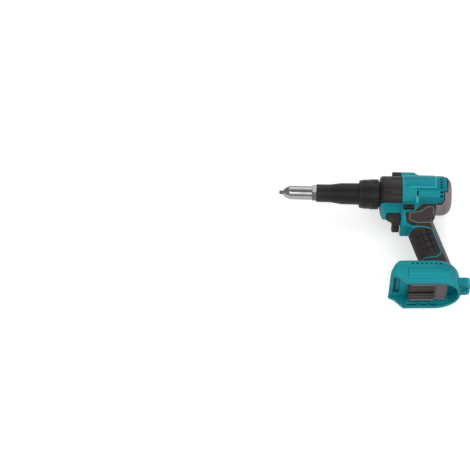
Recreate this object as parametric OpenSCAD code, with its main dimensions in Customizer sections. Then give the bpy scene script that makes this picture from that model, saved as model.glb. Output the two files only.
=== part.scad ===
// Battery rivet tool without its pack, lying on its right side.
// Sizes are millimetres. Each module is drawn about the barrel axis: x runs to the rear from the front
// face of the gear case, y points to the top of the tool and z to its left side.

/* [Nose] */
// Reach of the nosepiece tip in front of the gear case
nose_reach = 163.1; // [150:0.1:176]
// Length of the nosepiece that shows
tip_length = 6.1; // [4:0.1:10]
// Radius of the nosepiece tip
tip_radius = 3.1; // [2.6:0.05:4]
// Bore of the nosepiece for the rivet mandrel
mandrel_bore = 3.1; // [2:0.05:3.6]
// Radius of the nose housing
nose_radius = 11.3; // [11:0.05:13]
// Length of the rounded front of the nose housing
ogive_length = 14.6; // [10:0.1:20]
// Distance of the lock nut's front face from the gear case
lock_nut_reach = 109.9; // [104:0.1:114]
// Width of the lock nut across its flats
lock_nut_flats = 25; // [24:0.1:28]
// Thickness of the lock nut
lock_nut_thickness = 6.9; // [5:0.1:9]
// Radius of the slim front of the nose sleeve
sleeve_front_radius = 14.6; // [13.8:0.1:17]
// Radius of the rear of the nose sleeve
sleeve_rear_radius = 17.6; // [16.5:0.1:19]
// Front radius of the lock collar
collar_front_radius = 22.4; // [21.5:0.1:24]
// Radius of the notched ring on the lock collar
collar_ring_radius = 24.5; // [23:0.1:26]
// Length of the lock collar
collar_length = 31.4; // [28:0.1:34]
// Number of notches round the lock collar
collar_notches = 40; // [24:2:60]

/* [Pull drive] */
// Stroke of the pull rod
stroke = 20; // [12:0.5:22]
// Radius of the pull rod in its guide
rod_radius = 6; // [5:0.1:6.4]
// Width across the flats that stop the pull rod turning
rod_flats = 9.6; // [8:0.1:10.5]
// Radius of the screw on the rear of the pull rod
screw_radius = 7.2; // [6.5:0.1:8]
// Outer radius of the jaw case
jaw_case_radius = 8.6; // [8:0.05:8.8]
// Half angle of the jaw cone
jaw_angle = 10; // [8:0.5:12]
// Length of a jaw
jaw_length = 12; // [9:0.5:14]
// Slit between neighbouring jaws
jaw_slit = 1.2; // [0.9:0.1:2]
// Outer radius of the drive nut
nut_radius = 12.45; // [11:0.05:12.6]
// Width of the nut bearing
nut_bearing_width = 7; // [5:0.5:8]
// Outer radius of the nut bearing
nut_bearing_radius = 18.5; // [17.6:0.1:19]

/* [Gears] */
// Tooth module
tooth_module = 0.9; // [0.8:0.01:0.92]
// Teeth on the sun gear
sun_teeth = 12; // [12:6:12]
// Teeth on each planet gear
planet_teeth = 18; // [18:6:18]
// Number of planet gears
planets = 3; // [3:1:3]
// Pressure angle of the teeth
pressure_angle = 25; // [20:1:28]
// Width of the planet gears
planet_width = 8.4; // [6:0.1:9]
// Radius of the planet pins
planet_pin_radius = 2; // [1.5:0.1:2.6]

/* [Gear case] */
// Length of the gear case behind its front face
case_length = 37.4; // [36.5:0.1:42]
// Radius of the gear case
case_radius = 30.2; // [29:0.1:31]
// Rounding of the front edge of the gear case
case_rounding = 5.7; // [3:0.1:7]
// Wall of the gear case round the ring gear
case_wall = 3.5; // [3:0.1:4]
// Radius of the screw ribs along the gear case
screw_rib_radius = 3; // [2.6:0.1:3.4]
// Angle of the screw ribs from the sides
screw_rib_angle = 30; // [24:1:36]
// Front end of the pad on top
pad_start = 20.7; // [16:0.1:28]
// Rear end of the pad on top
pad_end = 57.7; // [50:0.1:62]
// Height of the pad above the barrel axis
pad_height = 38.8; // [34:0.1:40]
// Half width of the pad
pad_half_width = 12; // [8:0.1:14]

/* [Motor] */
// Radius of the stator
stator_radius = 26; // [24:0.1:26.4]
// Bore of the stator
stator_bore = 26; // [22:0.1:28]
// Length of the stator
stator_length = 37; // [30:0.5:37]
// Slots in the stator
stator_slots = 6; // [6:3:12]
// Radius of the motor shaft
shaft_radius = 2.5; // [2:0.05:3]
// Air gap between the rotor and the stator
air_gap = 0.6; // [0.4:0.05:1]
// Radius of the cooling fan
fan_radius = 23; // [18:0.5:24.5]
// Blades on the cooling fan
fan_blades = 11; // [7:2:15]
// Outer radius of the motor's front bearing
front_bearing_radius = 9.5; // [8:0.1:11]
// Outer radius of the motor's rear bearing
rear_bearing_radius = 8; // [6.5:0.1:9]

/* [Housing] */
// Radius of the motor barrel
barrel_radius = 31.9; // [30.6:0.1:33]
// Radius of the ring at the front of the motor barrel
ring_radius = 32.3; // [31:0.1:33.4]
// Rear end of that ring
ring_end = 58.5; // [54:0.1:62]
// Rear end of the motor barrel
barrel_end = 107.4; // [105:0.1:110]
// Wall of the motor barrel
barrel_wall = 3.2; // [2.4:0.1:3.6]
// Wall of the handle and the foot
shell_wall = 4.6; // [3.6:0.1:5]
// Depth of the soft grip in the housing
grip_depth = 2; // [1.2:0.1:2.6]
// Half width of the housing over the trigger
cradle_half_width = 14.5; // [13.5:0.1:16]
// Number of upper vent slots on each side of the barrel
barrel_vents = 5; // [3:1:6]
// Spacing of the upper vent slots in degrees
barrel_vent_pitch = 8.8; // [8:0.1:11]
// Reach of the rear cover behind the gear case's front face
cover_reach = 115.8; // [114:0.1:122]
// Radius of the rear cover
cover_radius = 32.3; // [31.2:0.1:33]
// Rounding of the rear cover's edge
cover_rounding = 16; // [6:0.1:17]
// Wall of the rear cover
cover_wall = 3; // [2.4:0.1:3.2]

/* [Handle] */
// Tilt of the handle
handle_tilt = 17.5; // [14:0.5:21]
// Depth of the handle from front to back
handle_depth = 46.5; // [43:0.1:50]
// Width of the handle
handle_width = 34; // [32:0.1:37]
// Distance of the handle's middle behind the gear case's front face, at the beak's height
handle_x = 69.9; // [66:0.1:73]
// Depth below the barrel axis where that distance is taken
handle_y = 83; // [81:0.1:85]

/* [Foot] */
// Width of the foot
foot_width = 78; // [74:0.5:84]
// Front of the foot behind the gear case's front face
foot_front = 12; // [8:0.5:16]
// Middle of the round stern of the foot
foot_stern = 84; // [80:0.5:88]
// Depth of the foot's top below the barrel axis
foot_top = 144; // [142:0.5:147]
// Depth of the foot's side walls below the barrel axis
foot_bottom = 192; // [189:0.5:196]
// Depth of the plate that carries the terminals
foot_plate = 173.4; // [171:0.1:176]
// Rounding of the foot's shoulder
shoulder_rounding = 18; // [14:0.5:19]
// Thickness of the foot's side walls
foot_wall = 7; // [5:0.1:8]
// Tilt of the foot
foot_tilt = 2; // [0:0.5:4]
// Width of the battery rails
rail_width = 3.2; // [2.4:0.1:4]
// Height of the battery rails
rail_height = 3.6; // [2.6:0.1:4.5]
// Number of vents on each shoulder of the foot
foot_vents = 7; // [3:1:7]
// Length of the terminal block
terminal_length = 60; // [50:0.5:62]
// Half width of the terminal block
terminal_half_width = 23; // [20:0.1:24]
// Depth of the terminal block below the barrel axis
terminal_depth = 187; // [184:0.1:189]
// Reach of the strap loop behind the gear case's front face
loop_reach = 138.5; // [134:0.1:142]
// Half width of the strap loop
loop_half_width = 15.5; // [14:0.1:18]
// Half width of the slot in the strap loop
loop_slot_half_width = 7; // [5.5:0.1:8]
// Length of the slot in the strap loop
loop_slot_length = 8; // [6:0.1:9]

/* [Controls] */
// Travel of the trigger
trigger_travel = 7; // [4:0.1:7.5]
// Half width of the trigger
trigger_half_width = 9; // [7.5:0.1:9.4]
// Length of the selector's face
selector_length = 17.3; // [12:0.1:18]
// Height of the selector's face
selector_height = 8; // [6:0.1:8.4]
// Travel of the selector to each side
selector_travel = 3.5; // [2:0.1:4]

/* [Fits] */
// Clearance of fixed fits
fit = 0.02; // [0.01:0.01:0.05]
// Radial clearance of running shafts
running = 0.05; // [0.03:0.01:0.1]
// Clearance round moving pieces
clearance = 0.4; // [0.3:0.05:0.6]
// Backlash of each tooth flank
backlash = 0.07; // [0.05:0.01:0.1]

/* [Hidden] */
$fn = 72;
far = 300;

// Colours of the moulded pieces and metals
teal = [0.07, 0.55, 0.57];
black = [0.16, 0.15, 0.15];
rubber = [0.25, 0.22, 0.21];
steel = [0.72, 0.73, 0.75];
dark_steel = [0.38, 0.38, 0.4];
brass = [0.75, 0.6, 0.3];
copper = [0.72, 0.42, 0.25];
board_green = [0.1, 0.35, 0.2];

// Stations along the barrel axis
tip_x = -nose_reach;
nose_x = tip_x + tip_length;
lock_nut_x = -lock_nut_reach;
sleeve_x = lock_nut_x + lock_nut_thickness;
collar_gap = 2;
collar_x = -collar_gap - collar_length;
spigot_radius = 20.5;
spigot_x = collar_x + 2.4;
thrust_x = spigot_x + 3;
thrust_length = 4;
flange_x = thrust_x + thrust_length + clearance / 4;
flange_length = 5;
mount_plate_length = 9.35;
mount_plate_x = case_length - mount_plate_length;
// The housing's ring laps over the rear of the gear case from here
lip_x = case_length - 2;
ring_length = planet_width + 1.4;
ring_x = mount_plate_x - 0.05 - ring_length;
carrier_length = 4;
carrier_x = ring_x - 0.2 - carrier_length;
planet_x = carrier_x + carrier_length + 0.6;
nut_bearing_x = carrier_x - 10;
front_bearing_x = mount_plate_x + 1.4;
front_bearing_width = case_length - front_bearing_x - 0.2;
stator_x = 47;
fan_x = stator_x + stator_length + 8;
fan_length = 7;
rear_bearing_x = fan_x + fan_length + 1.5;
rear_bearing_width = 5;
shaft_end = rear_bearing_x + rear_bearing_width;

// Bores along the barrel axis
nose_bore = jaw_case_radius + 0.4;
tail_radius = nose_radius - 0.4;
tail_end = sleeve_x + 6;
bush_x = -78;
bush_length = 20;
bush_radius = sleeve_front_radius - 1.7;
spigot_bore = spigot_radius - 3.3;
ring_outer = case_radius - case_wall - fit;

// The pull rod and the jaws, at the front of the stroke
jaw_case_x = nose_x + ogive_length - 0.4;
jaw_case_length = 33;
rod_x = jaw_case_x + jaw_case_length - 8;
screw_x = bush_x + bush_length + stroke * 0.4;
screw_end = carrier_x - stroke + 0.5;
jaw_closing = 1;
jaw_x = jaw_case_x + 1 + jaw_closing;
cone_mouth = 4.6;
cone_length = 16;
cone_end_radius = cone_mouth + cone_length * tan(jaw_angle);
pusher_x = jaw_x + jaw_length + 0.3;
pusher_length = 5;

// Gear sizes
ring_teeth = sun_teeth + 2 * planet_teeth;
planet_orbit = tooth_module * (sun_teeth + planet_teeth) / 2;
addendum = 0.8;
dedendum = 1;

// Housing profiles
cradle_front = -2.2;
guard_low = -46.4;
guard_rounding = 14;
beak_front = 30.8;
beak_low = -71.6;
beak_rounding = 7;
trigger_front = 10;
trigger_rear = 31.7;
trigger_top = -42.8;
trigger_low = -69.2;
plunger_y = -57;
plunger_radius = 3;
switch_x = 41;
switch_half_width = 8.5;
selector_x = 37;
selector_top = -barrel_radius - 0.5;
selector_half_width = handle_width / 2 + selector_travel + 0.5;
pad_tail = 6.3;
upper_vent_angle = -10.6;
lower_vent_angle = -25.3;
lower_vent_pitch = 11.8;
cover_step_x = barrel_end - 5.2;
cover_step_y = -11.5;
tongue_x = barrel_end - 17.4;
tongue_y = -27.2;
cover_screw_z = 17;
cover_screw_radius = 1.5;
bridge_x = rear_bearing_x - 0.1;
bridge_length = rear_bearing_width + 0.2;
screw_orbit = case_radius - 1.6;
case_screw_radius = 1.3;
case_head_radius = screw_orbit - stator_radius - 0.15;
body_screw_radius = 1.7;
body_head_radius = 3.3;
foot_half = foot_width / 2;
// Housing screws: place, depth of the head and half length of the boss
body_screws = [[12, -36, 9, cradle_half_width - 4], [72, -50, 12, handle_width / 2 - 1.5],
  [79, -105, 11, handle_width / 2 - 1.5], [34, -163, 26, foot_half - 3], [108, -163, 20, foot_half - 11]];
stern_wall = 3.4;
foot_floor = 3.4;
terminal_x = 42;
terminal_rim = 3;
block_top = -foot_plate + foot_floor + terminal_rim + fit;
contact_rows = [-16, -8.5, 8.5, 16];
contact_half = 0.4;
loop_top = 169.5;
loop_low = 182.5;

// The foot leans about this point
foot_pivot = [65, -170];
function foot_x(x, y) =
  foot_pivot[0] + (x - foot_pivot[0]) * cos(foot_tilt) - (y - foot_pivot[1]) * sin(foot_tilt);
function foot_y(x, y) =
  foot_pivot[1] + (x - foot_pivot[0]) * sin(foot_tilt) + (y - foot_pivot[1]) * cos(foot_tilt);
wall_front = foot_front + 23.5;
wall_top_front = foot_front + 9;
// Slots on the foot's shoulders
foot_vent_x = foot_front + 33.1;
foot_vent_pitch = 7.33;
foot_vent_length = 4.2;
foot_vent_height = 2.4;
foot_vent_angle = 15;

// Extents that place the tool on its base
x_low = tip_x;
x_high = foot_x(loop_reach, -loop_low);
y_low = foot_y(wall_front, -foot_bottom);
y_high = pad_height;

module placed() {
  translate([-(x_low + x_high) / 2, -(y_low + y_high) / 2, foot_half])
    children();
}

module in_foot() {
  translate([foot_pivot[0], foot_pivot[1], 0])
    rotate([0, 0, foot_tilt])
      translate([-foot_pivot[0], -foot_pivot[1], 0])
        children();
}

// A solid turned about the barrel axis from points of station and radius
module turned(profile) {
  rotate([0, 90, 0])
    rotate_extrude()
      polygon([for (p = profile) [p[1], p[0]]]);
}

// A round bar along the barrel axis
module bar(start, end, radius) {
  translate([start, 0, 0])
    rotate([0, 90, 0])
      cylinder(h = end - start, r = radius);
}

// A tube along the barrel axis
module tube(start, end, radius, bore) {
  difference() {
    bar(start, end, radius);
    bar(start - 1, end + 1, bore);
  }
}

// An outline of the cross section, drawn to the left and the top, carried along the barrel axis
module along(start, end) {
  translate([start, 0, 0])
    rotate([0, 90, 0])
      linear_extrude(end - start)
        mirror([1, 0])
          children();
}

// A side outline carried across the tool
module across(low, high) {
  translate([0, 0, low])
    linear_extrude(high - low)
      children();
}

// A plan outline of x and z carried down the tool
module down(high, low) {
  translate([0, high, 0])
    rotate([90, 0, 0])
      linear_extrude(high - low)
        mirror([0, 1])
          children();
}

module left_of_middle() {
  translate([-far, -far, 0])
    cube([2 * far, 2 * far, far]);
}

module stadium(length, width) {
  square([length - width, width], center = true);
  for (s = [-1, 1])
    translate([s * (length - width) / 2, 0])
      circle(d = width);
}

module rounded_box_outline(x0, y0, x1, y1, r) {
  translate([x0 + r, y0])
    square([x1 - x0 - 2 * r, y1 - y0]);
  translate([x0, y0 + r])
    square([x1 - x0, y1 - y0 - 2 * r]);
  for (x = [x0 + r, x1 - r], y = [y0 + r, y1 - r])
    translate([x, y])
      circle(r = r);
}

// Involute teeth: the half angle of a tooth at a radius
function involute(a) = tan(a) * 180 / PI - a;
function base_radius(teeth) = tooth_module * teeth / 2 * cos(pressure_angle);
function tooth_half(teeth, r, slack) =
  90 / teeth + slack / (tooth_module * teeth / 2) * 180 / PI + involute(pressure_angle)
  - involute(acos(min(1, base_radius(teeth) / max(r, base_radius(teeth)))));

module tooth_outline(teeth, root, tip, slack) {
  steps = 5;
  radii = [for (i = [0:steps]) root + (tip - root) * i / steps];
  polygon([for (t = [0:teeth - 1])
    each concat(
      [for (i = [0:steps]) let (a = 360 * t / teeth - tooth_half(teeth, radii[i], slack))
        [radii[i] * cos(a), radii[i] * sin(a)]],
      [for (i = [steps:-1:0]) let (a = 360 * t / teeth + tooth_half(teeth, radii[i], slack))
        [radii[i] * cos(a), radii[i] * sin(a)]])]);
}

module gear_outline(teeth) {
  pitch = tooth_module * teeth / 2;
  tooth_outline(teeth, pitch - dedendum * tooth_module, pitch + addendum * tooth_module, -backlash);
}

module ring_space_outline() {
  pitch = tooth_module * ring_teeth / 2;
  tooth_outline(ring_teeth, pitch - addendum * tooth_module, pitch + dedendum * tooth_module, backlash);
}

module gear_body(start, length) {
  translate([start, 0, 0])
    rotate([0, 90, 0])
      linear_extrude(length)
        children();
}

function planet_angle(k) = 360 * (k - 1) / planets;
function planet_phase(k) =
  planet_angle(k) * (1 + sun_teeth / planet_teeth) + 180 - 180 / planet_teeth;

// A closed coil of wire along the barrel direction
module coil(start, end, radius, wire, turns) {
  sides = 6;
  rings = turns * 10;
  pitch = end - start - 2 * wire;
  points = [for (i = [0:rings], s = [0:sides - 1])
    let (a = 360 * turns * i / rings, b = 360 * s / sides, r = radius + wire * cos(b))
      [start + wire + pitch * i / rings + wire * sin(b), r * cos(a), r * sin(a)]];
  walls = [for (i = [0:rings - 1], s = [0:sides - 1])
    let (p = i * sides + s, q = i * sides + (s + 1) % sides)
      each [[p, q, q + sides], [p, q + sides, p + sides]]];
  front = [for (s = [1:sides - 2]) [0, s + 1, s]];
  back = [for (s = [1:sides - 2]) [rings * sides, rings * sides + s, rings * sides + s + 1]];
  polyhedron(points, concat(walls, front, back), convexity = 8);
}

// Side outline of the housing under the barrel: trigger guard in front, beak below the trigger
module saddle_outline() {
  polygon([[cradle_front + 1.7, -18], [cradle_front, -22], [cradle_front + 2.5, -29.6],
    [cradle_front + 5, -36], [cradle_front + 7.8, guard_low + 3.9], [cradle_front + 9.8, guard_low + 1],
    [trigger_front - 0.4, guard_low], [trigger_rear + 1.5, guard_low], [trigger_rear + 0.6, -58],
    [beak_front, beak_low + 3], [beak_front + 0.8, beak_low + 0.6], [beak_front + 2.4, beak_low],
    [beak_front + 7.8, beak_low - 0.4], [beak_front + 10, beak_low - 1.3], [beak_front + 14.5, beak_low - 3],
    [60, -96], [110, -72], [110, -18]]);
}

// The web between the barrel and the back of the handle
module web_outline() {
  polygon([[58, -18], [68.5, -60], [78, -54.5], [85.6, -50], [84.8, -44], [86, -38.6], [89.7, -35.2],
    [89.7, -18]]);
}

module along_handle() {
  translate([handle_x, -handle_y, 0])
    rotate([0, 0, handle_tilt])
      rotate([90, 0, 0])
        translate([0, 0, -64])
          linear_extrude(142)
            children();
}

// Behind the trigger the housing keeps the back of the handle and reaches further forward
module saddle(inset) {
  front = handle_depth / 2 + 14 - inset;
  half = handle_width / 2 - inset;
  slim = cradle_half_width - inset;
  intersection() {
    across(-far, far)
      offset(delta = -inset)
        saddle_outline();
    union() {
      intersection() {
        down(0, -far)
          rounded_box_outline(cradle_front + inset, -slim, 66, slim, 10 - inset);
        along(-far, far)
          rounded_box_outline(-slim, guard_low + inset, slim, 0, guard_rounding - inset);
      }
      intersection() {
        along_handle() {
          rounded_box_outline(-front, -half, 0, half, 9 - inset);
          stadium(handle_depth - 2 * inset, 2 * half);
        }
        down(0, -far)
          rounded_box_outline(beak_front + inset, -half, 130, half, 8 - inset);
        along(-far, far)
          rounded_box_outline(-half, beak_low - 1 + inset, half, 0, beak_rounding - inset);
      }
    }
  }
  intersection() {
    across(-half + 0.5, half - 0.5)
      offset(delta = -inset)
        web_outline();
    bar(0, far, 60);
  }
}

// The oval handle, from inside the barrel down to the foot
module handle(inset) {
  along_handle()
    stadium(handle_depth - 2 * inset, handle_width - 2 * inset);
}

module handle_below_barrel(inset) {
  intersection() {
    handle(inset);
    translate([-far, -foot_top - 14, -far])
      cube([2 * far, foot_top - 14, 2 * far]);
  }
}

module grip_body(inset) {
  saddle(inset);
  handle_below_barrel(inset);
}

// Section of the foot: flat top, rounded shoulders, straight sides
module foot_section(inset, low) {
  r = shoulder_rounding - inset;
  half = foot_half - inset;
  top = -foot_top - inset;
  translate([-half, low])
    square([2 * half, top - r - low]);
  translate([-half + r, low])
    square([2 * (half - r), top - low]);
  for (s = [-1, 1])
    translate([s * (half - r), top - r])
      circle(r = r);
}

// The straight part of the foot and its round stern
module foot_hull(inset, low) {
  along(foot_front - 1, foot_stern)
    foot_section(inset, low);
  translate([foot_stern, 0, 0])
    rotate([-90, 0, 0])
      rotate([0, 0, -90])
        rotate_extrude(angle = 180)
          intersection() {
            foot_section(inset, low);
            translate([0, -far])
              square([far, 2 * far]);
          }
}

// Side outline of the foot's front, with the slope of its nose
module foot_side_outline() {
  polygon([[foot_front + 31, -foot_top + 4], [foot_front + 15, -foot_top - 5.5],
    [foot_front + 6.5, -foot_top - 16.5], [foot_front + 2, -foot_top - 23.5], [foot_front, -foot_plate - 1],
    [foot_front, -foot_plate - 3.6], [wall_top_front, -foot_plate - 3.6],
    [wall_front, -foot_bottom], [foot_stern + foot_half + 1, -foot_bottom],
    [foot_stern + foot_half + 1, -foot_top + 4]]);
}

// Plan of the foot's front with its cut corners
module foot_plan() {
  polygon([[foot_front, -foot_half + 7], [wall_top_front, -foot_half], [far, -foot_half], [far, foot_half],
    [wall_top_front, foot_half], [foot_front, foot_half - 7]]);
}

module foot(inset) {
  intersection() {
    foot_hull(inset, -foot_bottom);
    across(-far, far)
      offset(delta = -inset)
        foot_side_outline();
    down(0, -far)
      offset(delta = -inset)
        foot_plan();
  }
}

// The open bay that the battery slides into
module battery_bay() {
  inner = foot_half - foot_wall;
  down(-foot_plate, -foot_bottom - 1) {
    translate([foot_front - 2, -inner])
      square([foot_stern - foot_front + 2, 2 * inner]);
    translate([foot_stern + foot_wall - stern_wall, 0])
      circle(r = inner);
    translate([foot_stern - 1, -inner])
      square([foot_wall - stern_wall + 1, 2 * inner]);
  }
}

module battery_rails() {
  inner = foot_half - foot_wall;
  segments = [[wall_front + 2, 20], [wall_front + 24, 15], [wall_front + 41, 12]];
  for (s = [-1, 1], k = segments)
    translate([k[0], -foot_bottom + 2.2, s > 0 ? inner - rail_width : -inner - 0.5])
      cube([k[1], rail_height, rail_width + 0.5]);
}

module strap_loop() {
  down(-loop_top, -loop_low)
    difference() {
      union() {
        translate([foot_stern + foot_half - 4, -loop_half_width])
          square([loop_reach - foot_stern - foot_half - 2, 2 * loop_half_width]);
        translate([loop_reach - 7, -loop_half_width + 6])
          square([7, 2 * loop_half_width - 12]);
        for (s = [-1, 1])
          translate([loop_reach - 6, s * (loop_half_width - 6)])
            circle(r = 6);
      }
      translate([loop_reach - 4 - loop_slot_length, -loop_slot_half_width])
        square([loop_slot_length, 2 * loop_slot_half_width]);
    }
}

// The soft grip covers the flank under the motor, the back of the handle and a pad on its side
module grip_field() {
  across(-far, far) {
    polygon([[39.5, -46], [55.3, -42.6], [64.5, -30.7], [68, -28], [110, -28], [135, -160], [40, -160],
      [40, -136], [60.4, -136], [67.3, -132.9], [86.6, -131.1], [94.4, -124.7], [95.5, -118.7],
      [82.3, -76.2], [81.3, -75.4], [69.2, -72], [61.7, -72], [49, -70], [41.1, -66]]);
    polygon([[42, -88], [48.6, -78.3], [55.9, -74.2], [68.7, -73.8], [80.8, -77.2], [94, -119.2],
      [93, -124], [85.9, -129.5], [66.9, -131.3], [59.7, -134.4], [40, -134.4]]);
  }
}

module grip_solid() {
  intersection() {
    difference() {
      grip_body(0);
      grip_body(grip_depth);
    }
    grip_field();
  }
}

// The rear cover starts further forward low on the barrel
module cover_field(gap) {
  across(-far, far)
    polygon([[barrel_end - gap, far], [barrel_end - gap, cover_step_y + gap],
      [cover_step_x - gap, cover_step_y + gap], [cover_step_x - gap, tongue_y + 4 + gap],
      [cover_step_x - 4 - gap, tongue_y + gap], [tongue_x - gap, tongue_y + gap], [tongue_x - gap, -far],
      [far, -far], [far, far]]);
}

// The barrel and the cover share this domed rear
module dome(radius, inset) {
  r = cover_rounding - inset;
  side = radius - inset;
  end = cover_reach - inset;
  rotate([0, 90, 0])
    rotate_extrude() {
      translate([0, case_length])
        square([side, end - r - case_length]);
      translate([0, case_length])
        square([side - r, end - case_length]);
      intersection() {
        translate([side - r, end - r])
          circle(r = r);
        translate([0, case_length])
          square([side, end - case_length]);
      }
    }
}

// A slot as wide as the trigger, and the opening between the guard and the beak
module trigger_space() {
  across(-trigger_half_width - clearance, trigger_half_width + clearance)
    translate([trigger_front - clearance, trigger_low - clearance])
      square([switch_x + 0.5 - trigger_front + clearance, trigger_top - trigger_low + 2 * clearance]);
  across(-far, far)
    rounded_box_outline(trigger_front - clearance, guard_low - 8, trigger_rear + clearance,
      trigger_top + clearance, 2.5);
}

module selector_space() {
  across(-far, far)
    translate([selector_x - clearance, selector_top - selector_height - clearance])
      square([selector_length + 2 * clearance, selector_height + 2 * clearance]);
}

module at_case_screws() {
  for (a = [screw_rib_angle, -screw_rib_angle, 180 - screw_rib_angle, 180 + screw_rib_angle])
    rotate([-a, 0, 0])
      translate([0, 0, screw_orbit])
        children();
}

module at_body_screws() {
  for (p = body_screws)
    translate([p[0], p[1], 0])
      children();
}

// Outer form of both housing halves
module housing_form() {
  difference() {
    dome(barrel_radius, 0);
    cover_field(0.3);
  }
  bar(lip_x, ring_end, ring_radius);
  saddle(0);
  handle_below_barrel(0);
  in_foot() {
    foot(0);
    strap_loop();
  }
  pad(lip_x, pad_end + pad_tail);
}

module pad(start, end) {
  intersection() {
    along(start, end)
      rounded_box_outline(-pad_half_width, 0, pad_half_width, pad_height, 4);
    across(-far, far)
      polygon([[pad_start, 20], [pad_start, pad_height - 1], [pad_start + 1, pad_height],
        [pad_end - 1, pad_height], [pad_end, pad_height - 1], [pad_end, pad_height - 4],
        [pad_end + pad_tail, barrel_radius - 0.4], [pad_end + pad_tail, 20]]);
  }
}

module vent_slot(angle, height) {
  rotate([-angle, 0, 0])
    translate([barrel_end - 11.7, -height / 2, barrel_radius - barrel_wall - 1])
      cube([4.6, height, barrel_wall + 3]);
}

module vent_slots() {
  for (s = [0, 1])
    mirror([0, 0, s]) {
      for (k = [0:barrel_vents - 1])
        vent_slot(upper_vent_angle + k * barrel_vent_pitch, 2.4);
      for (k = [0:1])
        vent_slot(lower_vent_angle - k * lower_vent_pitch, 3.4);
    }
}

// Short slots round the upper shoulders of the foot
module foot_vent_slots() {
  r = shoulder_rounding;
  for (s = [0, 1], k = [0:foot_vents - 1])
    mirror([0, 0, s])
      translate([foot_vent_x + foot_vent_pitch * k, -foot_top - r, foot_half - r])
        rotate([-foot_vent_angle, 0, 0])
          translate([0, -foot_vent_height / 2, r - shell_wall - 2])
            cube([foot_vent_length, foot_vent_height, shell_wall + 4]);
}

module housing_hollow() {
  difference() {
    bar(case_length - 1, ring_end, barrel_radius - barrel_wall);
    at_case_screws() {
      bar(case_length - 2, stator_x, screw_rib_radius);
      translate([case_length - 2, -screw_rib_radius, 0])
        cube([stator_x - case_length + 2, 2 * screw_rib_radius, barrel_radius - screw_orbit - 1]);
    }
  }
  intersection() {
    bar(ring_end - 1, far, barrel_radius);
    dome(barrel_radius, barrel_wall);
  }
  bar(-20, case_length + 0.001, case_radius);
  at_case_screws()
    bar(-20, case_length + 0.001, screw_rib_radius);
  difference() {
    saddle(shell_wall);
    translate([-far, trigger_top, -far])
      cube([far + 8, far, 2 * far]);
    translate([-far, -far, -far])
      cube([far + switch_x, far + trigger_top + clearance + 3, 2 * far]);
  }
  intersection() {
    handle(shell_wall);
    translate([-far, -foot_top - 10, -far])
      cube([2 * far, foot_top - 20, 2 * far]);
  }
  in_foot()
    intersection() {
      foot(shell_wall);
      translate([-far, -foot_plate + foot_floor, -far])
        cube([2 * far, far, 2 * far]);
    }
}

module screw_bosses() {
  for (p = body_screws)
    translate([p[0], p[1], -p[3]])
      cylinder(h = 2 * p[3], r = body_screw_radius + 2.2);
}

module stator_ribs() {
  for (x = [stator_x + 3, stator_x + stator_length - 7])
    difference() {
      bar(x, x + 4, barrel_radius - 1);
      bar(x - 1, x + 5, stator_radius + fit);
    }
}

// The bridge across the barrel that holds the rear bearing
module bearing_bridge() {
  difference() {
    intersection() {
      translate([bridge_x, -9.5, -far / 2])
        cube([bridge_length, 19, far]);
      bar(bridge_x - 1, bridge_x + bridge_length + 1, barrel_radius - 1.6);
    }
    bar(bridge_x - 1, far, rear_bearing_radius + fit);
  }
}

module housing_solid() {
  difference() {
    union() {
      difference() {
        housing_form();
        housing_hollow();
        in_foot()
          battery_bay();
      }
      screw_bosses();
      stator_ribs();
      bearing_bridge();
      in_foot()
        battery_rails();
    }
    difference() {
      grip_field();
      union() {
        grip_body(grip_depth);
        bar(0, far, barrel_radius + 0.1);
        in_foot()
          foot(0);
      }
    }
    trigger_space();
    selector_space();
    vent_slots();
    in_foot() {
      foot_vent_slots();
      terminal_opening();
      latch_pocket();
    }
    switch_room();
    at_case_screws() {
      bar(0, ring_end + 2, case_screw_radius + fit);
      translate([ring_end - 0.5, -4.6, -3.4])
        cube([3, 9.2, 12]);
    }
    cover_screw_holes();
    at_body_screws()
      translate([0, 0, -far])
        cylinder(h = far + 8, r = body_screw_radius + fit);
    for (p = body_screws)
      translate([p[0], p[1], -far - p[2]])
        cylinder(h = far, r = body_head_radius + 0.2);
  }
}

module terminal_opening() {
  translate([terminal_x - fit, -foot_plate - 1, -terminal_half_width - fit])
    cube([terminal_length + 2 * fit, 6, 2 * (terminal_half_width + fit)]);
}

module latch_pocket() {
  translate([foot_front + 6.5, -foot_plate - 1, -21])
    cube([10, 3.6, 42]);
}

module switch_room() {
  across(-switch_half_width - fit, switch_half_width + fit)
    offset(delta = fit)
      switch_outline();
}

module cover_screw_holes() {
  for (s = [-1, 1])
    translate([0, 0, s * cover_screw_z])
      bar(bridge_x - 1, far, cover_screw_radius + fit);
}

module left_housing() {
  color(teal)
    intersection() {
      housing_solid();
      left_of_middle();
    }
}

module right_housing() {
  color(teal)
    difference() {
      housing_solid();
      left_of_middle();
    }
}

module left_grip() {
  color(rubber)
    intersection() {
      grip_solid_trimmed();
      left_of_middle();
    }
}

module right_grip() {
  color(rubber)
    difference() {
      grip_solid_trimmed();
      left_of_middle();
    }
}

module grip_solid_trimmed() {
  difference() {
    grip_solid();
    bar(0, far, barrel_radius + 0.1);
    translate([tongue_x - 0.6, tongue_y - 6, -far])
      cube([far, far, 2 * far]);
    in_foot()
      foot(0);
    at_body_screws()
      translate([0, 0, -far])
        cylinder(h = far, r = body_head_radius + 0.2);
  }
}

module rear_cover() {
  color(rubber)
    difference() {
      union() {
        difference() {
          dome(cover_radius, 0);
          dome(cover_radius, cover_wall);
        }
        intersection() {
          dome(cover_radius, 0);
          for (s = [-1, 1])
            translate([0, 0, s * cover_screw_z])
              bar(bridge_x + bridge_length, far, 4.6);
        }
      }
      difference() {
        bar(0, far, far);
        cover_field(0);
      }
      cover_screw_holes();
      for (s = [-1, 1])
        translate([0, 0, s * cover_screw_z])
          bar(cover_reach - 4, far, 3);
    }
}

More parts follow.
